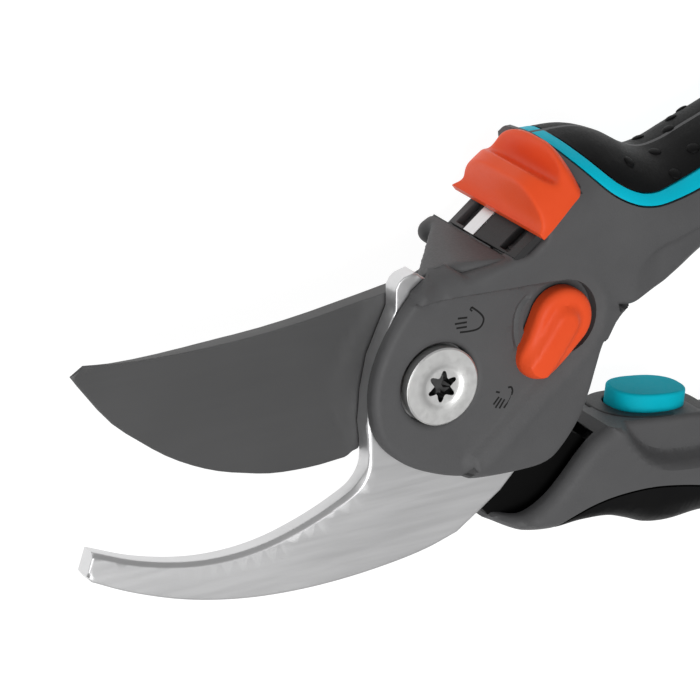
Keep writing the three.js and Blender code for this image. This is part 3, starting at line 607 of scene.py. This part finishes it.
def neck_step(x, p):
    """How far the underside of the neck lies lower, fading out at both ends."""
    depth = NECK_DEPTH * smooth(0, 2.0, distance([neck_arc], p, closed=False))
    return np.where(inside(neck_zone, p), depth, 0) * (1 - smooth(54, 72, x)) * smooth(39, 46, x)


def shoulder_drop(x, p):
    """The soft round where the head turns down into the wing."""
    drop = elliptic(distance([wing_root], p, closed=False), *SHOULDER_ROUND)
    return drop * smooth(-4, 1, x) * (1 - smooth(3, 13, x))


def build_upper_shell():
    groove = spline([(17.9, 12.6), (16.4, 11.2), (15.6, 9.3), (15.4, 6.3), (15.8, 3.9)], 6)
    shoulder = [(-6, 12), (16, 12), (14.6, 20.4), (9, 20.9), (5, 20.9), (0.8, 20), (-1.8, 18.9), (-4.2, 17.4)]
    stroke_points = []
    for k in (-0.7, -0.4, 0.0, 0.4, 0.7):
        stroke_points += shifted(groove, k)

    def top(x, y, d):
        p = np.c_[x, y]
        z = upper_top(x, y, d)
        z = pear_step(z, x, y, p)
        z = z - neck_step(x, p) - shoulder_drop(x, p)
        in_well = np.hypot(x - LEVER_HUB[0], y - LEVER_HUB[1]) < LEVER_WELL_R
        z = np.where(in_well, np.minimum(z, LEVER_WELL_FLOOR), z)
        z = np.where(inside(zone_above(accent_line, 0.0), p), z - GRIP_REBATE, z)
        across = distance([groove], p, closed=False) / GROOVE_HALF_WIDTH
        return z - GROOVE_DEPTH * np.clip(1 - across ** 2, 0, 1)

    def open_below(x):
        return np.where(x < HEAD_END, HEAD_FLOOR, MID + 0.15)

    bottom = cad_underside("upper_shell_near", top, open_below, 0.6)
    rim = [circle(*LEVER_HUB, LEVER_WELL_R + 0.05), circle(*LEVER_HUB, LEVER_WELL_R - 0.1)]
    accent_sides = [shifted(accent_line, 0.05), shifted(accent_line, -0.05)]
    lines = [c + c[:1] for c in rim] + [pear, neck_arc] + accent_sides
    ring_points = []
    for k in (-2.6, -1.8, -1.0, 0.3, 0.6, 1.2, 1.9, 2.6):
        ring_points += shifted(pear, -k)
    for k in (0.7, 1.4, 2.1, 2.8):
        ring_points += shifted(neck_arc, -k)
    return slab(
        "shell_upper_near", [near_plate, front_loop, upper_loop, shoulder], top, bottom,
        cut=[circle(0, 0, BOLT_HOLE_R), circle(*BUTTON_AT, 4.4, 32), circle(*LIGHT_AT, 1.9, 24),
             [(160, 20), (200, 20), (200, 80), (160, 80)], circle(*LEVER_HUB, 1.7, 20), seat_pocket],
        rings=UPPER_RINGS, step=2.2, lines=lines, points=stroke_points + ring_points)


# two hands for the wide and the narrow grip, as open lines round their centres
OPEN_HAND = [
    spline([
        (0.5, 2.3), (1.9, 1.1), (2.7, 0.15), (2.9, -0.55), (2.5, -1.5), (1.75, -2.0), (0.3, -2.1),
        (-1.9, -1.9),
    ], 6),
    [(0.5, 2.3), (0.2, 1.9), (0.6, 1.55)],
    [(-2.3, 0.75), (-0.4, 0.55)], [(-2.9, -0.15), (-0.5, -0.3)], [(-2.6, -1.0), (-0.5, -1.15)],
]
OPEN_HAND_AT = (6.1, 10.8)
SMALL_HAND = [
    spline([(1.2, 1.6), (1.85, 1.5), (2.1, 0.85), (1.75, -0.4), (0.95, -1.45), (0.3, -2.1)], 6),
    [(-1.25, 1.3), (-0.5, 1.0)],
    [(-0.65, 0.2), (-1.8, -1.0)], [(-0.1, -0.15), (-1.4, -1.7)], [(0.5, -0.5), (-0.6, -2.0)],
]
SMALL_HAND_AT = (12.7, -5.1)
SIGN_TOP = BODY_TOP - PEAR_DEPTH + 0.03


def build_sign(name, lines, z, width=0.34):
    """Engraved lines, as dark closed ribbons let into the face: painted shade standing in for the shadow
    inside the engraved strokes.
    """
    verts, faces = [], []
    for line in lines:
        left, right = shifted(line, width / 2), shifted(line, -width / 2)
        base = len(verts)
        for (lx, ly), (rx, ry) in zip(left, right):
            verts += [(lx, ly, z), (rx, ry, z), (rx, ry, z - 0.4), (lx, ly, z - 0.4)]
        for i in range(len(line) - 1):
            a, b = base + 4 * i, base + 4 * i + 4
            for k in range(4):
                faces.append((a + k, b + k, b + (k + 1) % 4, a + (k + 1) % 4))
        last = base + 4 * (len(line) - 1)
        faces += [(base, base + 1, base + 2, base + 3), (last + 3, last + 2, last + 1, last)]
    return new_object(name, verts, faces)


finish_piece(build_upper_shell(), "upper_frame", GREY, ["upper_shell_near"])
for name, hand, (cx, cy) in (
    ("sign_open_hand", OPEN_HAND, OPEN_HAND_AT),
    ("sign_small_hand", SMALL_HAND, SMALL_HAND_AT),
):
    placed = [[(cx + x, cy + y) for x, y in line] for line in hand]
    finish_piece(build_sign(name, placed, SIGN_TOP), "upper_frame", SIGN_SHADE)


def ball_points(x, y, z, r, rows=14):
    """Points spread over a ball."""
    out = [(x, y, z + r), (x, y, z - r)]
    for i in range(1, rows):
        a = math.pi * i / rows
        ring = r * math.sin(a)
        for k in range(2 * rows):
            b = math.pi * k / rows
            out.append((x + ring * math.cos(b), y + ring * math.sin(b), z + r * math.cos(a)))
    return out


def build_wing():
    """The fin that shields the slider seat, flowing out of the head as one rounded body."""
    neck = [
        (-1.9, 18.5, 22), (0.7, 19.7, 23.2), (5, 20.5, 23.4), (9.5, 20.6, 25), (14.3, 20.5, 26),
        (14.7, 20.3, 26.8), (13.9, 15.5, 25), (2, 16, 24), (3.4, 19.4, 19.8), (5.8, 17.9, 16),
        (9.3, 17.5, 12), (14.5, 20.4, 10), (15.4, 14.4, 1.2), (14.6, 20.5, 0.6), (15.8, 14.4, 0.6),
    ]
    fin = ball_points(12.7, 18.1, 2.3, 2.2) + ball_points(15, 16.3, 4, 2.2)
    fin += [(14.3, 20.4, 0.35), (13.8, 20.2, 1.5), (14.5, 20.4, 8)]
    bm = bmesh.new()
    for points in (neck, fin):
        made = [bm.verts.new([MM * c for c in p]) for p in points]
        bmesh.ops.convex_hull(bm, input=made)
    loose = [v for v in bm.verts if not v.link_faces]
    bmesh.ops.delete(bm, geom=loose, context="VERTS")
    mesh = bpy.data.meshes.new("wing")
    bm.to_mesh(mesh)
    bm.free()
    obj = bpy.data.objects.new("wing", mesh)
    bpy.context.scene.collection.objects.link(obj)
    remesh = obj.modifiers.new("blend", "REMESH")
    remesh.mode = "VOXEL"
    remesh.voxel_size = 0.36 * MM
    remesh.use_smooth_shade = True
    soften = obj.modifiers.new("soft", "SMOOTH")
    soften.factor = 0.6
    soften.iterations = 9
    return obj


finish_piece(build_wing(), "upper_frame", GREY)
far_shell = softened("shell_upper_far", "upper_shell_far", 0.5)
finish_piece(far_shell, "upper_frame", GREY, ["upper_shell_far"])


# ---- upper grip and accent strip --------------------------------------------------------------
# place along X and turn round the grip from its mid line, in degrees
NUBS = [
    (42.5, 41), (50.4, 41), (56.3, 25), (50.8, 10), (56.6, -8), (52.5, -24), (63.8, -40), (61, 42),
    (64.5, 10), (60, -26), (69, 28), (72, -10), (71, 46), (68, -32), (77, 12), (76, -40), (80, 36),
]
NUB_R = 1.2
NUB_HEIGHT = 0.4


def build_nubs(steps=20, rows=7):
    """Low round bumps on the soft grip."""
    verts, faces = [], []
    line = np.array(upper_back)[::-1]
    for place, turn in NUBS:
        i = int(np.argmin(np.abs(line[:, 0] - place)))
        way = line[i + 1] - line[i - 1]
        way /= np.linalg.norm(way)
        out = np.array([-way[1], way[0]])
        a = math.radians(turn)
        z = (BODY_TOP - HANDLE_T if turn > 0 else HANDLE_T) + HANDLE_T * math.sin(a)
        x, y = line[i] - out * HANDLE_S * (1 - math.cos(a))
        level = math.cos(a) / HANDLE_S
        normal = Vector((out[0] * level, out[1] * level, math.sin(a) / HANDLE_T)).normalized()
        turn_to = normal.to_track_quat("Z", "Y")
        base = len(verts)
        for r in range(rows + 1):
            b = math.pi * r / rows
            ring = NUB_R * math.sin(b)
            for k in range(steps):
                c = 2 * math.pi * k / steps
                p = turn_to @ Vector((ring * math.cos(c), ring * math.sin(c), NUB_HEIGHT * math.cos(b)))
                verts.append((x + p.x, y + p.y, z + p.z))
        for r in range(rows):
            here = base + r * steps
            for k in range(steps):
                n = (k + 1) % steps
                faces.append((here + k, here + n, here + steps + n, here + steps + k))
    return new_object("grip_nubs", verts, faces, 60)


GRIP_SKIN = 1.25
STRIP_SKIN = 1.4


def build_grip():
    zone = zone_above(accent_line, 2.5)

    def top(x, y, d):
        return BODY_TOP - np.minimum(handle_drop(x, y), BODY_TOP - MID - 0.05)

    def bottom(x, y, d):
        return np.where(edge_gap(x, y) < 1.0, MID, np.maximum(top(x, y, d) - GRIP_SKIN, MID))

    return clipped_skin("grip_upper", zone, top, bottom)


def edge_gap(x, y):
    return distance([upper_back], np.c_[x, y], closed=False)


SKIN_RINGS = [0.06, 0.15, 0.35, 0.7, 1.0, 1.3, 1.9, 2.8, 3.9, 5.3, 7.4, 9.4]
SKIN_END = 160.0   # where the grip meets the end cap, along X


def clipped_skin(name, zone, top, bottom):
    """A skin over the part of the upper handle that lies in zone, wrapped round to the far side."""
    def wanted(c):
        return inside(zone, c) & inside(upper_loop, c) & (c[:, 0] < SKIN_END) & ~inside(seat_pocket, c)

    stop = [(SKIN_END, 20), (SKIN_END, 80)]
    v, tri = triangulate([zone, upper_loop, seat_pocket], [stop], [], wanted)
    biggest = max(outline_of(v, tri), key=lambda loop: abs(area(loop)))
    return slab(name, [biggest], top, bottom, rings=SKIN_RINGS, step=2.4, mirror_at=MID)


def area(loop):
    a = np.array(loop)
    b = np.roll(a, -1, axis=0)
    return float((a[:, 0] * b[:, 1] - a[:, 1] * b[:, 0]).sum() / 2)


def build_strip():
    zone = shifted(accent_line, 0.3) + shifted(accent_line, 2.25)[::-1]

    def top(x, y, d):
        drop = np.minimum(handle_drop(x, y), BODY_TOP - MID - 0.2)
        return BODY_TOP + 0.1 - drop - 0.1 * (1 - smooth(0, 0.4, d))

    def bottom(x, y, d):
        return np.where(edge_gap(x, y) < 1.0, MID, np.maximum(top(x, y, d) - STRIP_SKIN, MID))

    return clipped_skin("strip_accent", zone, top, bottom)


finish_piece(build_grip(), "upper_frame", RUBBER, ["upper_soft_grip"])
finish_piece(build_nubs(), "upper_frame", RUBBER)
finish_piece(build_strip(), "upper_frame", TEAL, ["accent_strip"])

# ---- blades -----------------------------------------------------------------------------------
counter_mouth = spline([
    (-66.5, -17.3), (-58, -20.9), (-48.5, -23.4), (-40.5, -24.1), (-33, -23.5), (-25.5, -21.6),
    (-19, -19.1), (-15, -16.9), (-13, -14.0), (-12.7, -10), (-13, -6),
])
counter_back = spline([
    (5, -30.1), (-1, -31.8), (-8, -32.9), (-19, -33.7), (-30, -33.5), (-40, -32.3), (-50, -29.9),
    (-60, -26.1), (-67, -22.6),
])
counter_loop = counter_mouth + [
    (-12.4, 0), (-11, 6), (-8.6, 11), (-7, 14.3), (-6.9, 18.2), (-6.2, 19.4), (-5.2, 20.1),
    (-3, 20.6), (-1.8, 19.4), (4, 16.4), (14, 13.2), (30, 16), (44, 20.2), (57, 25.2),
    (58.6, 20), (50, 16.2), (44, 13.8), (36, 9.2), (30, 2), (27, -8), (22, -15.5), (17, -21.1),
    (14, -24.1), (10.3, -26.6), (6.5, -29.1),
] + counter_back + [(-67.9, -21.3)]


COUNTER_Z = (20.4, 24.0)
CUTTER_Z = (16.9, 20.1)


def build_counter_blade():
    def top(x, y, d):
        edge = distance([counter_mouth], np.c_[x, y], closed=False)
        grind = 0.75 * (1 - smooth(0.0, 0.9, edge)) * smooth(-12, -14, x)
        return COUNTER_Z[1] - rounding(d, 0.25) - grind

    def bottom(x, y, d):
        return COUNTER_Z[0] + rounding(d, 0.15)

    holes = [circle(0, 0, 4.7), circle(20, 6.5, 1.8, 24), circle(*LEVER_HUB, 1.8, 24)]
    holes.append(circle(40, 14.6, 3, 24))
    return slab("blade_counter", [counter_loop], top, bottom, cut=holes,
                rings=[0.08, 0.17, 0.28, 0.6, 0.95], step=3.0)


cutter_edge = spline([
    (-67.5, 13.5), (-65, 9.8), (-60, 3.4), (-55, -0.9), (-50, -4.7), (-45, -7.6), (-40, -9.8),
    (-35, -11.3), (-30, -12.5), (-25, -13), (-20, -13.1), (-15.2, -12.8),
])


def build_cutting_blade():
    """Blade, pivot eye and tang in one plate, ground on its far side."""
    outlines = cad_outline("cutting_blade", 18.5)

    def top(x, y, d):
        r = np.hypot(x, y)
        return CUTTER_Z[1] - 0.28 * smooth(14.8, 17.4, r) * smooth(-8, -12, x) - rounding(d, 0.2)

    def bottom(x, y, d):
        p = np.c_[x, y]
        edge = distance([cutter_edge], p, closed=False)
        grind = (1 - smooth(0.0, 9.0, edge)) * smooth(-13, -18, x)
        tip = smooth(-36, -66, x)
        return np.minimum(CUTTER_Z[0] + np.maximum(2.7 * grind, 2.5 * tip), top(x, y, d) - 0.3)

    rings = [0.1, 0.2, 0.5, 1.2, 2.2, 3.4, 5, 7, 9]
    return slab("blade_cutting", outlines, top, bottom, rings=rings, step=2.4)


def cad_outline(node, z):
    """The outline of a flat CAD plate: its section at height z, as closed loops."""
    bm = bmesh.new()
    bm.from_mesh(frame["nodes"][node].data)
    bmesh.ops.remove_doubles(bm, verts=bm.verts, dist=2e-6)
    cut = bmesh.ops.bisect_plane(bm, geom=bm.verts[:] + bm.edges[:] + bm.faces[:], dist=1e-7,
                                 plane_co=(0, 0, z * MM), plane_no=(0, 0, 1))["geom_cut"]
    links = {}
    for e in cut:
        if isinstance(e, bmesh.types.BMEdge):
            a, b = e.verts
            links.setdefault(a, []).append(b)
            links.setdefault(b, []).append(a)
    loops = []
    while links:
        first = next(iter(links))
        loop, here, came = [], first, None
        while True:
            loop.append((here.co.x / MM, here.co.y / MM))
            ways = links.pop(here)
            ahead = [w for w in ways if w is not came and w in links]
            if not ahead:
                break
            came, here = here, ahead[0]
        loops.append(loop)
    bm.free()
    return loops


finish_piece(build_counter_blade(), "upper_frame", STEEL, ["counter_blade"])
finish_piece(build_cutting_blade(), "lower_lever", COATED, ["cutting_blade"])


# ---- pivot bolt -------------------------------------------------------------------------------
def star(outer, inner, steps=72):
    """A six-lobed drive socket."""
    out = []
    for i in range(steps):
        a = 2 * math.pi * i / steps
        wave = 0.5 + 0.5 * math.cos(6 * a)
        r = inner + (outer - inner) * wave ** 1.4
        out.append((r * math.cos(a + 0.35), r * math.sin(a + 0.35)))
    return out


BOLT_R = 7.12
socket_rim = star(3.0, 1.75)
socket_floor = star(2.9, 1.65)


def build_bolt():
    def top(x, y, d):
        r = np.hypot(x, y)
        z = 27.98 - 0.22 * smooth(6.85, BOLT_R, r) - 0.10 * smooth(5.0, 3.4, r)
        z = z - 0.16 * (1 - smooth(3.2, 4.2, r))
        return np.where(inside(socket_floor, np.c_[x, y]), 26.3, z)

    rim = [socket_rim + socket_rim[:1], socket_floor + socket_floor[:1]]
    rows = [circle(0, 0, r, 96) for r in (7.04, 6.96, 6.86, 6.5, 5.8, 5.0, 4.4, 4.1, 3.8, 3.5, 3.2)]
    return slab("bolt_head", [circle(0, 0, BOLT_R, 96)], top, lambda x, y, d: 26.0 + 0 * x, rings=[],
                step=0.7, lines=rim, points=[q for row in rows for q in row], sharp=30)


def lathe(name, profile, cx=0.0, cy=0.0, steps=48, sharp=38):
    """A solid of revolution about a Z line. profile is (radius, z) from one axis end to the other."""
    verts, faces = [], []
    for r, z in profile:
        for i in range(steps):
            a = 2 * math.pi * i / steps
            verts.append((cx + r * math.cos(a), cy + r * math.sin(a), z))
    for j in range(len(profile) - 1):
        for i in range(steps):
            k = (i + 1) % steps
            faces.append((j * steps + i, j * steps + k, (j + 1) * steps + k, (j + 1) * steps + i))
    return new_object(name, verts, faces, sharp)


bolt = finish_piece(build_bolt(), "upper_frame", BOLT, ["pivot_bolt"])
# faces inside the drive socket get the darker copy: painted shade in the recess
bolt.data.materials.append(SOCKET_SHADE)
for face in bolt.data.polygons:
    c = face.center / MM
    if c.z < 27.7 and inside(socket_rim, np.array([[c.x, c.y]]))[0]:
        face.material_index = 1
shank = lathe("bolt_shank", [(0, 3.6), (2.9, 3.6), (3.2, 3.9), (3.2, 25.98), (0, 25.98)])
finish_piece(shank, "upper_frame", BOLT, [])


# ---- lock slider ------------------------------------------------------------------------------
def build_slider():
    """A thumb slider: a dome across the tool with a finger scallop before and behind its crest."""
    across = 0.5 - 0.5 * np.cos(np.linspace(0, math.pi, 77))
    cols = np.linspace(0, 1, 61)
    verts, base_verts = [], []
    for t in across:
        for c in cols:
            u = mix(5.8, 16.9, c)
            far = 0.9 + 2.4 * smooth(5.8, 8, u) + 1.6 * smooth(10, 19.5, u)
            near = 30.7 - 1.3 * smooth(6, 17.5, u) - 1.4 * max(0.0, (u - 15.3) / 1.6) ** 2
            z = mix(far, near, t)
            kf = np.clip((z - far) / 13, 0, 1)
            kn = np.clip((near - z) / 7.5, 0, 1)
            dome = 1.2 + 7.8 * min((1 - (1 - kf) ** 2) ** 0.5, (1 - (1 - kn) ** 2.3) ** 0.66)
            front = 1.9 + 0.33 * max(u - 5.8, 0) ** 2.3 if u < 11 else 40
            groove = 5.0 + 0.8 * (u - 14) ** 2
            k = 0.55
            n = -k * math.log(sum(math.exp(-h / k) for h in (dome, front, groove)))
            n = max(n - 0.9 * max(0.0, (u - 15.6) / 1.3) ** 2, 0.6)
            verts.append((*seat(u + SEAT_LEAN * n * c * c, n), z))
            base_verts.append((*seat(u + SEAT_LEAN * 0.35 * c * c, 0.35), z))
    obj = grid_solid("slider_lock", verts, base_verts, len(across), len(cols), 50)
    bevel = obj.modifiers.new("edges", "BEVEL")
    bevel.width = 0.45 * MM
    bevel.segments = 3
    bevel.limit_method = "ANGLE"
    bevel.angle_limit = math.radians(50)
    return obj


def grid_solid(name, top, base, rows, cols, sharp):
    """A closed solid between two grids of points."""
    verts = top + base
    half = len(top)
    faces = []
    for i in range(rows - 1):
        for j in range(cols - 1):
            a = i * cols + j
            faces.append((a, a + 1, a + cols + 1, a + cols))
            faces.append((half + a, half + a + cols, half + a + cols + 1, half + a + 1))
        for j in (0, cols - 1):
            a = i * cols + j
            faces.append((a, a + cols, half + a + cols, half + a))
    for j in range(cols - 1):
        for i in (0, rows - 1):
            a = i * cols + j
            faces.append((a, a + 1, half + a + 1, half + a))
    return new_object(name, verts, faces, sharp)


finish_piece(build_slider(), "lock", ORANGE, ["lock_slider"])


# ---- grip-width lever -------------------------------------------------------------------------
def build_lever():
    hub, tip = np.array(LEVER_HUB), np.array(LEVER_TIP)
    hub_r, tip_r = 5.8, 4.2
    way = math.degrees(math.atan2(*(tip - hub)[::-1]))
    lean = math.degrees(math.acos((hub_r - tip_r) / np.linalg.norm(tip - hub)))
    loop = arc(*hub, hub_r, way + lean, way + 360 - lean, 44) + arc(*tip, tip_r, way - lean, way + lean, 24)

    def top(x, y, d):
        p = np.c_[x, y]
        along = ((p - hub) @ (tip - hub)) / np.linalg.norm(tip - hub) ** 2
        ridge = distance([[tuple(hub + 0.05 * (tip - hub)), tuple(tip + 0.6 * (tip - hub))]], p, closed=False)
        z = 29.6 - rounding(d, 1.5)
        lift = 1.2 * (1 - smooth(1.8, 3.4, ridge)) * smooth(0, 1.0, d)
        return z + lift - 0.5 * smooth(0.7, 1.5, along)

    return slab("lever_grip_width", [loop], top, lambda x, y, d: 26.4 + 0 * x,
                rings=[0.1, 0.3, 0.6, 1.0, 1.5, 2.1], step=0.7)


finish_piece(build_lever(), "width_lever", ORANGE, ["grip_width_lever"])

# ---- lower handle -----------------------------------------------------------------------------
lower_under = spline([
    (13.4, -31.2), (16.5, -32.7), (20.5, -33.9), (25.5, -34.5), (31, -34.3), (37, -35.1), (42, -37.2),
    (46, -39.2), (51, -40.4), (58, -40.6), (66, -41.4), (80, -44.6), (100, -50.4), (120, -56), (138, -61),
    (143, -62.4), (155, -65.6),
])
lower_back = spline([
    (159.4, -50), (148, -45.4), (138, -42), (120, -36.8), (100, -31.8), (84, -28.2), (72, -26), (66, -24.8),
    (61.4, -22.2),
]) + spline([(61.4, -22.2), (60.4, -20.9), (50, -19.4), (40.4, -18.1), (38.4, -17.6), (36.9, -17.2)], 5)
lip_edge = spline([
    (36.9, -17.2), (34, -18.8), (31.2, -21.2), (28, -24.6), (24.6, -27.8), (20.6, -30), (16.8, -30.4),
    (14, -29.6),
])
lower_loop = lower_under + lower_back + lip_edge[1:]
lower_grip_line = spline([
    (22.6, -37), (26, -33.6), (31, -31.6), (36, -30.6), (41, -30.3), (46, -30.5), (52, -31.5),
    (60, -33.4), (80, -37.2), (100, -41.6), (120, -46.6), (140, -52.2), (157, -57),
])
thumb_dip = spline([
    (37.6, -13.4), (38.4, -16.4), (39.6, -19.6), (41.8, -23), (44.8, -26), (48.8, -27.9), (54.4, -28.8),
    (62, -29.4), (72, -30.5), (84, -31.5),
])
thumb_zone = thumb_dip + [(86, -26), (60, -12)]
LOWER_S = 7.5    # edge rounding of the lower grip in the plane
LOWER_T = 10.0   # and along Z
THUMB_DEPTH = 4.0
LOWER_REBATE = 1.45


def lower_drop(x, y):
    """How far the lower handle's skin lies below its near face."""
    p = np.c_[x, y]

    def gap(line):
        return distance([line], p, closed=False)

    grow = smooth(30, 60, x)
    under = elliptic(gap(lower_under), mix(2.4, LOWER_S, grow), mix(3.0, LOWER_T, grow))
    grow = smooth(66, 90, x)
    back = elliptic(gap(lower_back), mix(1.2, LOWER_S, grow), mix(1.2, LOWER_T, grow))
    lip = elliptic(gap(lip_edge), 3.0, 2.6)
    end = elliptic(gap([(155, -65.6), (159.4, -50)]), 5, 6)
    tip = 3.5 * (1 - smooth(13.5, 19, x))
    dip = np.where(inside(thumb_zone, p), smooth(0, 3.0, gap(thumb_dip)), 0) * THUMB_DEPTH
    dip = dip * (1 - smooth(64, 84, x))
    return np.maximum.reduce([under, back, lip, end]) + tip + dip


def build_lower_shell():
    def top(x, y, d):
        z = LOWER_TOP - lower_drop(x, y)
        return np.where(below_grip_line(x, y), z - LOWER_REBATE, z)

    def open_below(x):
        return np.full(len(x), LOWER_MID + 0.15)

    bottom = cad_underside("lower_shell_near", top, open_below, 0.5)

    lines = [shifted(lower_grip_line, 0.04), shifted(lower_grip_line, -0.04), thumb_dip]
    rows = [q for k in (0.7, 1.4, 2.1, 2.8, 3.6) for q in shifted(thumb_dip, k)]
    return slab("shell_lower_near", [lower_loop], top, bottom, step=2.0, lines=lines, points=rows,
                rings=[0.12, 0.3, 0.6, 1.0, 1.5, 2.2, 3.2, 4.6, 6.2, 7.5])


def below_grip_line(x, y):
    zone = lower_grip_line + [(180, -60), (180, -90), (0, -90), (0, -37)]
    return inside(zone, np.c_[x, y])


def build_lower_grip():
    zone = shifted(lower_grip_line, -0.3) + [(158, -80), (10, -80), (10, -45)]

    def wanted(c):
        return inside(zone, c) & inside(lower_loop, c)

    v, tri = triangulate([zone, lower_loop], [], [], wanted)
    biggest = max(outline_of(v, tri), key=lambda loop: abs(area(loop)))

    def top(x, y, d):
        return LOWER_TOP - np.minimum(lower_drop(x, y), LOWER_TOP - LOWER_MID - 0.1)

    def bottom(x, y, d):
        edge = distance([lower_under], np.c_[x, y], closed=False)
        return np.where(edge < 1.0, LOWER_MID, np.maximum(top(x, y, d) - GRIP_SKIN, LOWER_MID))

    return slab("grip_lower", [biggest], top, bottom, step=2.4, mirror_at=LOWER_MID,
                rings=[0.06, 0.15, 0.35, 0.7, 1.0, 1.5, 2.2, 3.2, 4.6, 6.2, 7.5])


finish_piece(build_lower_shell(), "lower_lever", GREY, ["lower_shell_near"])
finish_piece(build_lower_grip(), "lower_lever", RUBBER, ["lower_soft_grip"])

# ---- pad round the buffer -----------------------------------------------------------------------
BUFFER_AT = (51.9, -16.2)
BUFFER_TILT = math.radians(-8)
BUFFER_SQUARENESS = 2.5


def oval_point(a, b, turn, n):
    """A point on a squarish oval round the buffer, n above its top along its own axis."""
    c, s = math.cos(turn), math.sin(turn)
    grow = (abs(c) ** BUFFER_SQUARENESS + abs(s) ** BUFFER_SQUARENESS) ** (-1 / BUFFER_SQUARENESS)
    u, w = a * c * grow, b * s * grow
    tx, ty = math.cos(BUFFER_TILT), math.sin(BUFFER_TILT)
    return (BUFFER_AT[0] + u * tx - n * ty, BUFFER_AT[1] + u * ty + n * tx, LOWER_MID + w)


def build_collar():
    """The black pad that frames the buffer, level with the top of its boss."""
    profile = [(7.8, 5.8, -6), (7.8, 5.8, -3.5), (8.0, 6.0, -3.3), (10.9, 7.3, -3.3), (11.2, 7.6, -3.4),
               (11.4, 7.8, -3.7), (11.4, 7.8, -4.6), (8.9, 7, -4.6), (8.9, 7, -6)]
    steps, rows = 80, len(profile)
    verts = [oval_point(a, b, 2 * math.pi * k / steps, n) for a, b, n in profile for k in range(steps)]
    faces = []
    for i in range(rows):
        for k in range(steps):
            j, m = (i + 1) % rows, (k + 1) % steps
            faces.append((i * steps + k, i * steps + m, j * steps + m, j * steps + k))
    return new_object("buffer_pad", verts, faces)


finish_piece(build_collar(), "lower_lever", DARK, ["buffer_collar"])

# ---- pieces kept close to their CAD shape: the width of their rounded edges -----------------------
COPIES = {
    "seat_plate": 0.2, "seat_rim": 0.15, "lock_rail": 0.12, "soft_stop": 0.5,
    "power_button": 0.6, "end_cap": 0.6, "port_cover": 0.3, "lower_shell_far": 0.5,
    "pivot_nut": 0.3, "status_light": 0.3,
}
for node, width in COPIES.items():
    made = softened("fine_" + node, node, width, 3)
    finish_piece(made, body_of[node], SLOT_LOOK[slot_of[node]], [node])


# ---- floor, light and camera -----------------------------------------------------------------
def build_stage():
    mesh = bpy.data.meshes.new("floor")
    half = 6.0
    corners = [(-half, -half, 0), (half, -half, 0), (half, half, 0), (-half, half, 0)]
    mesh.from_pydata(corners, [], [(0, 1, 2, 3)])
    floor = bpy.data.objects.new("floor", mesh)
    floor.location.z = -0.0004
    bpy.context.scene.collection.objects.link(floor)
    n = Nodes("pale_floor")
    n.set(Base_Color=(0.16, 0.16, 0.16, 1), Roughness=0.95, Specular_IOR_Level=0.0)
    n.set(Emission_Color=(1, 1, 1, 1), Emission_Strength=0.96)
    mesh.materials.append(n.material)


def area_light(name, place, target, size, power):
    data = bpy.data.lights.new(name, "AREA")
    data.shape = "RECTANGLE"
    data.size, data.size_y = size
    data.energy = power
    light = bpy.data.objects.new(name, data)
    light.location = place
    light.rotation_euler = (Vector(target) - Vector(place)).to_track_quat("-Z", "Y").to_euler()
    bpy.context.scene.collection.objects.link(light)


def build_light():
    world = bpy.data.worlds.new("studio")
    world.use_nodes = True
    world.node_tree.nodes["Background"].inputs["Color"].default_value = (1, 1, 1, 1)
    world.node_tree.nodes["Background"].inputs["Strength"].default_value = 0.34
    bpy.context.scene.world = world
    area_light("key", (-0.25, -0.15, 1.1), (0, 0, 0), (0.7, 0.7), 9.6)
    area_light("fill", (-0.9, 0.5, 0.7), (0, 0, 0), (0.5, 0.5), 0.8)


CAMERA_FROM = (-0.40747, 0.32996, 0.71632)
CAMERA_TURN = (-129.356, 53.832, 122.585)   # azimuth, elevation and roll, in degrees
CAMERA_LENS = 257.14


def build_camera():
    data = bpy.data.cameras.new("camera")
    data.lens = CAMERA_LENS
    data.sensor_width = 36
    data.clip_start = 0.01
    data.clip_end = 50
    camera = bpy.data.objects.new("camera", data)
    azimuth, elevation, roll = (math.radians(v) for v in CAMERA_TURN)
    level_back = Vector((math.sin(azimuth), -math.cos(azimuth), 0))
    back = level_back * math.cos(elevation) + Vector((0, 0, math.sin(elevation)))
    level = Vector((math.cos(azimuth), math.sin(azimuth), 0))
    upward = back.cross(level)
    right = level * math.cos(roll) + upward * math.sin(roll)
    up = back.cross(right)
    turn = Matrix((right, up, back)).transposed()
    camera.matrix_world = Matrix.Translation(CAMERA_FROM) @ turn.to_4x4()
    bpy.context.scene.collection.objects.link(camera)
    bpy.context.scene.camera = camera


build_stage()
build_light()
build_camera()
bpy.context.scene.view_settings.view_transform = "Standard"
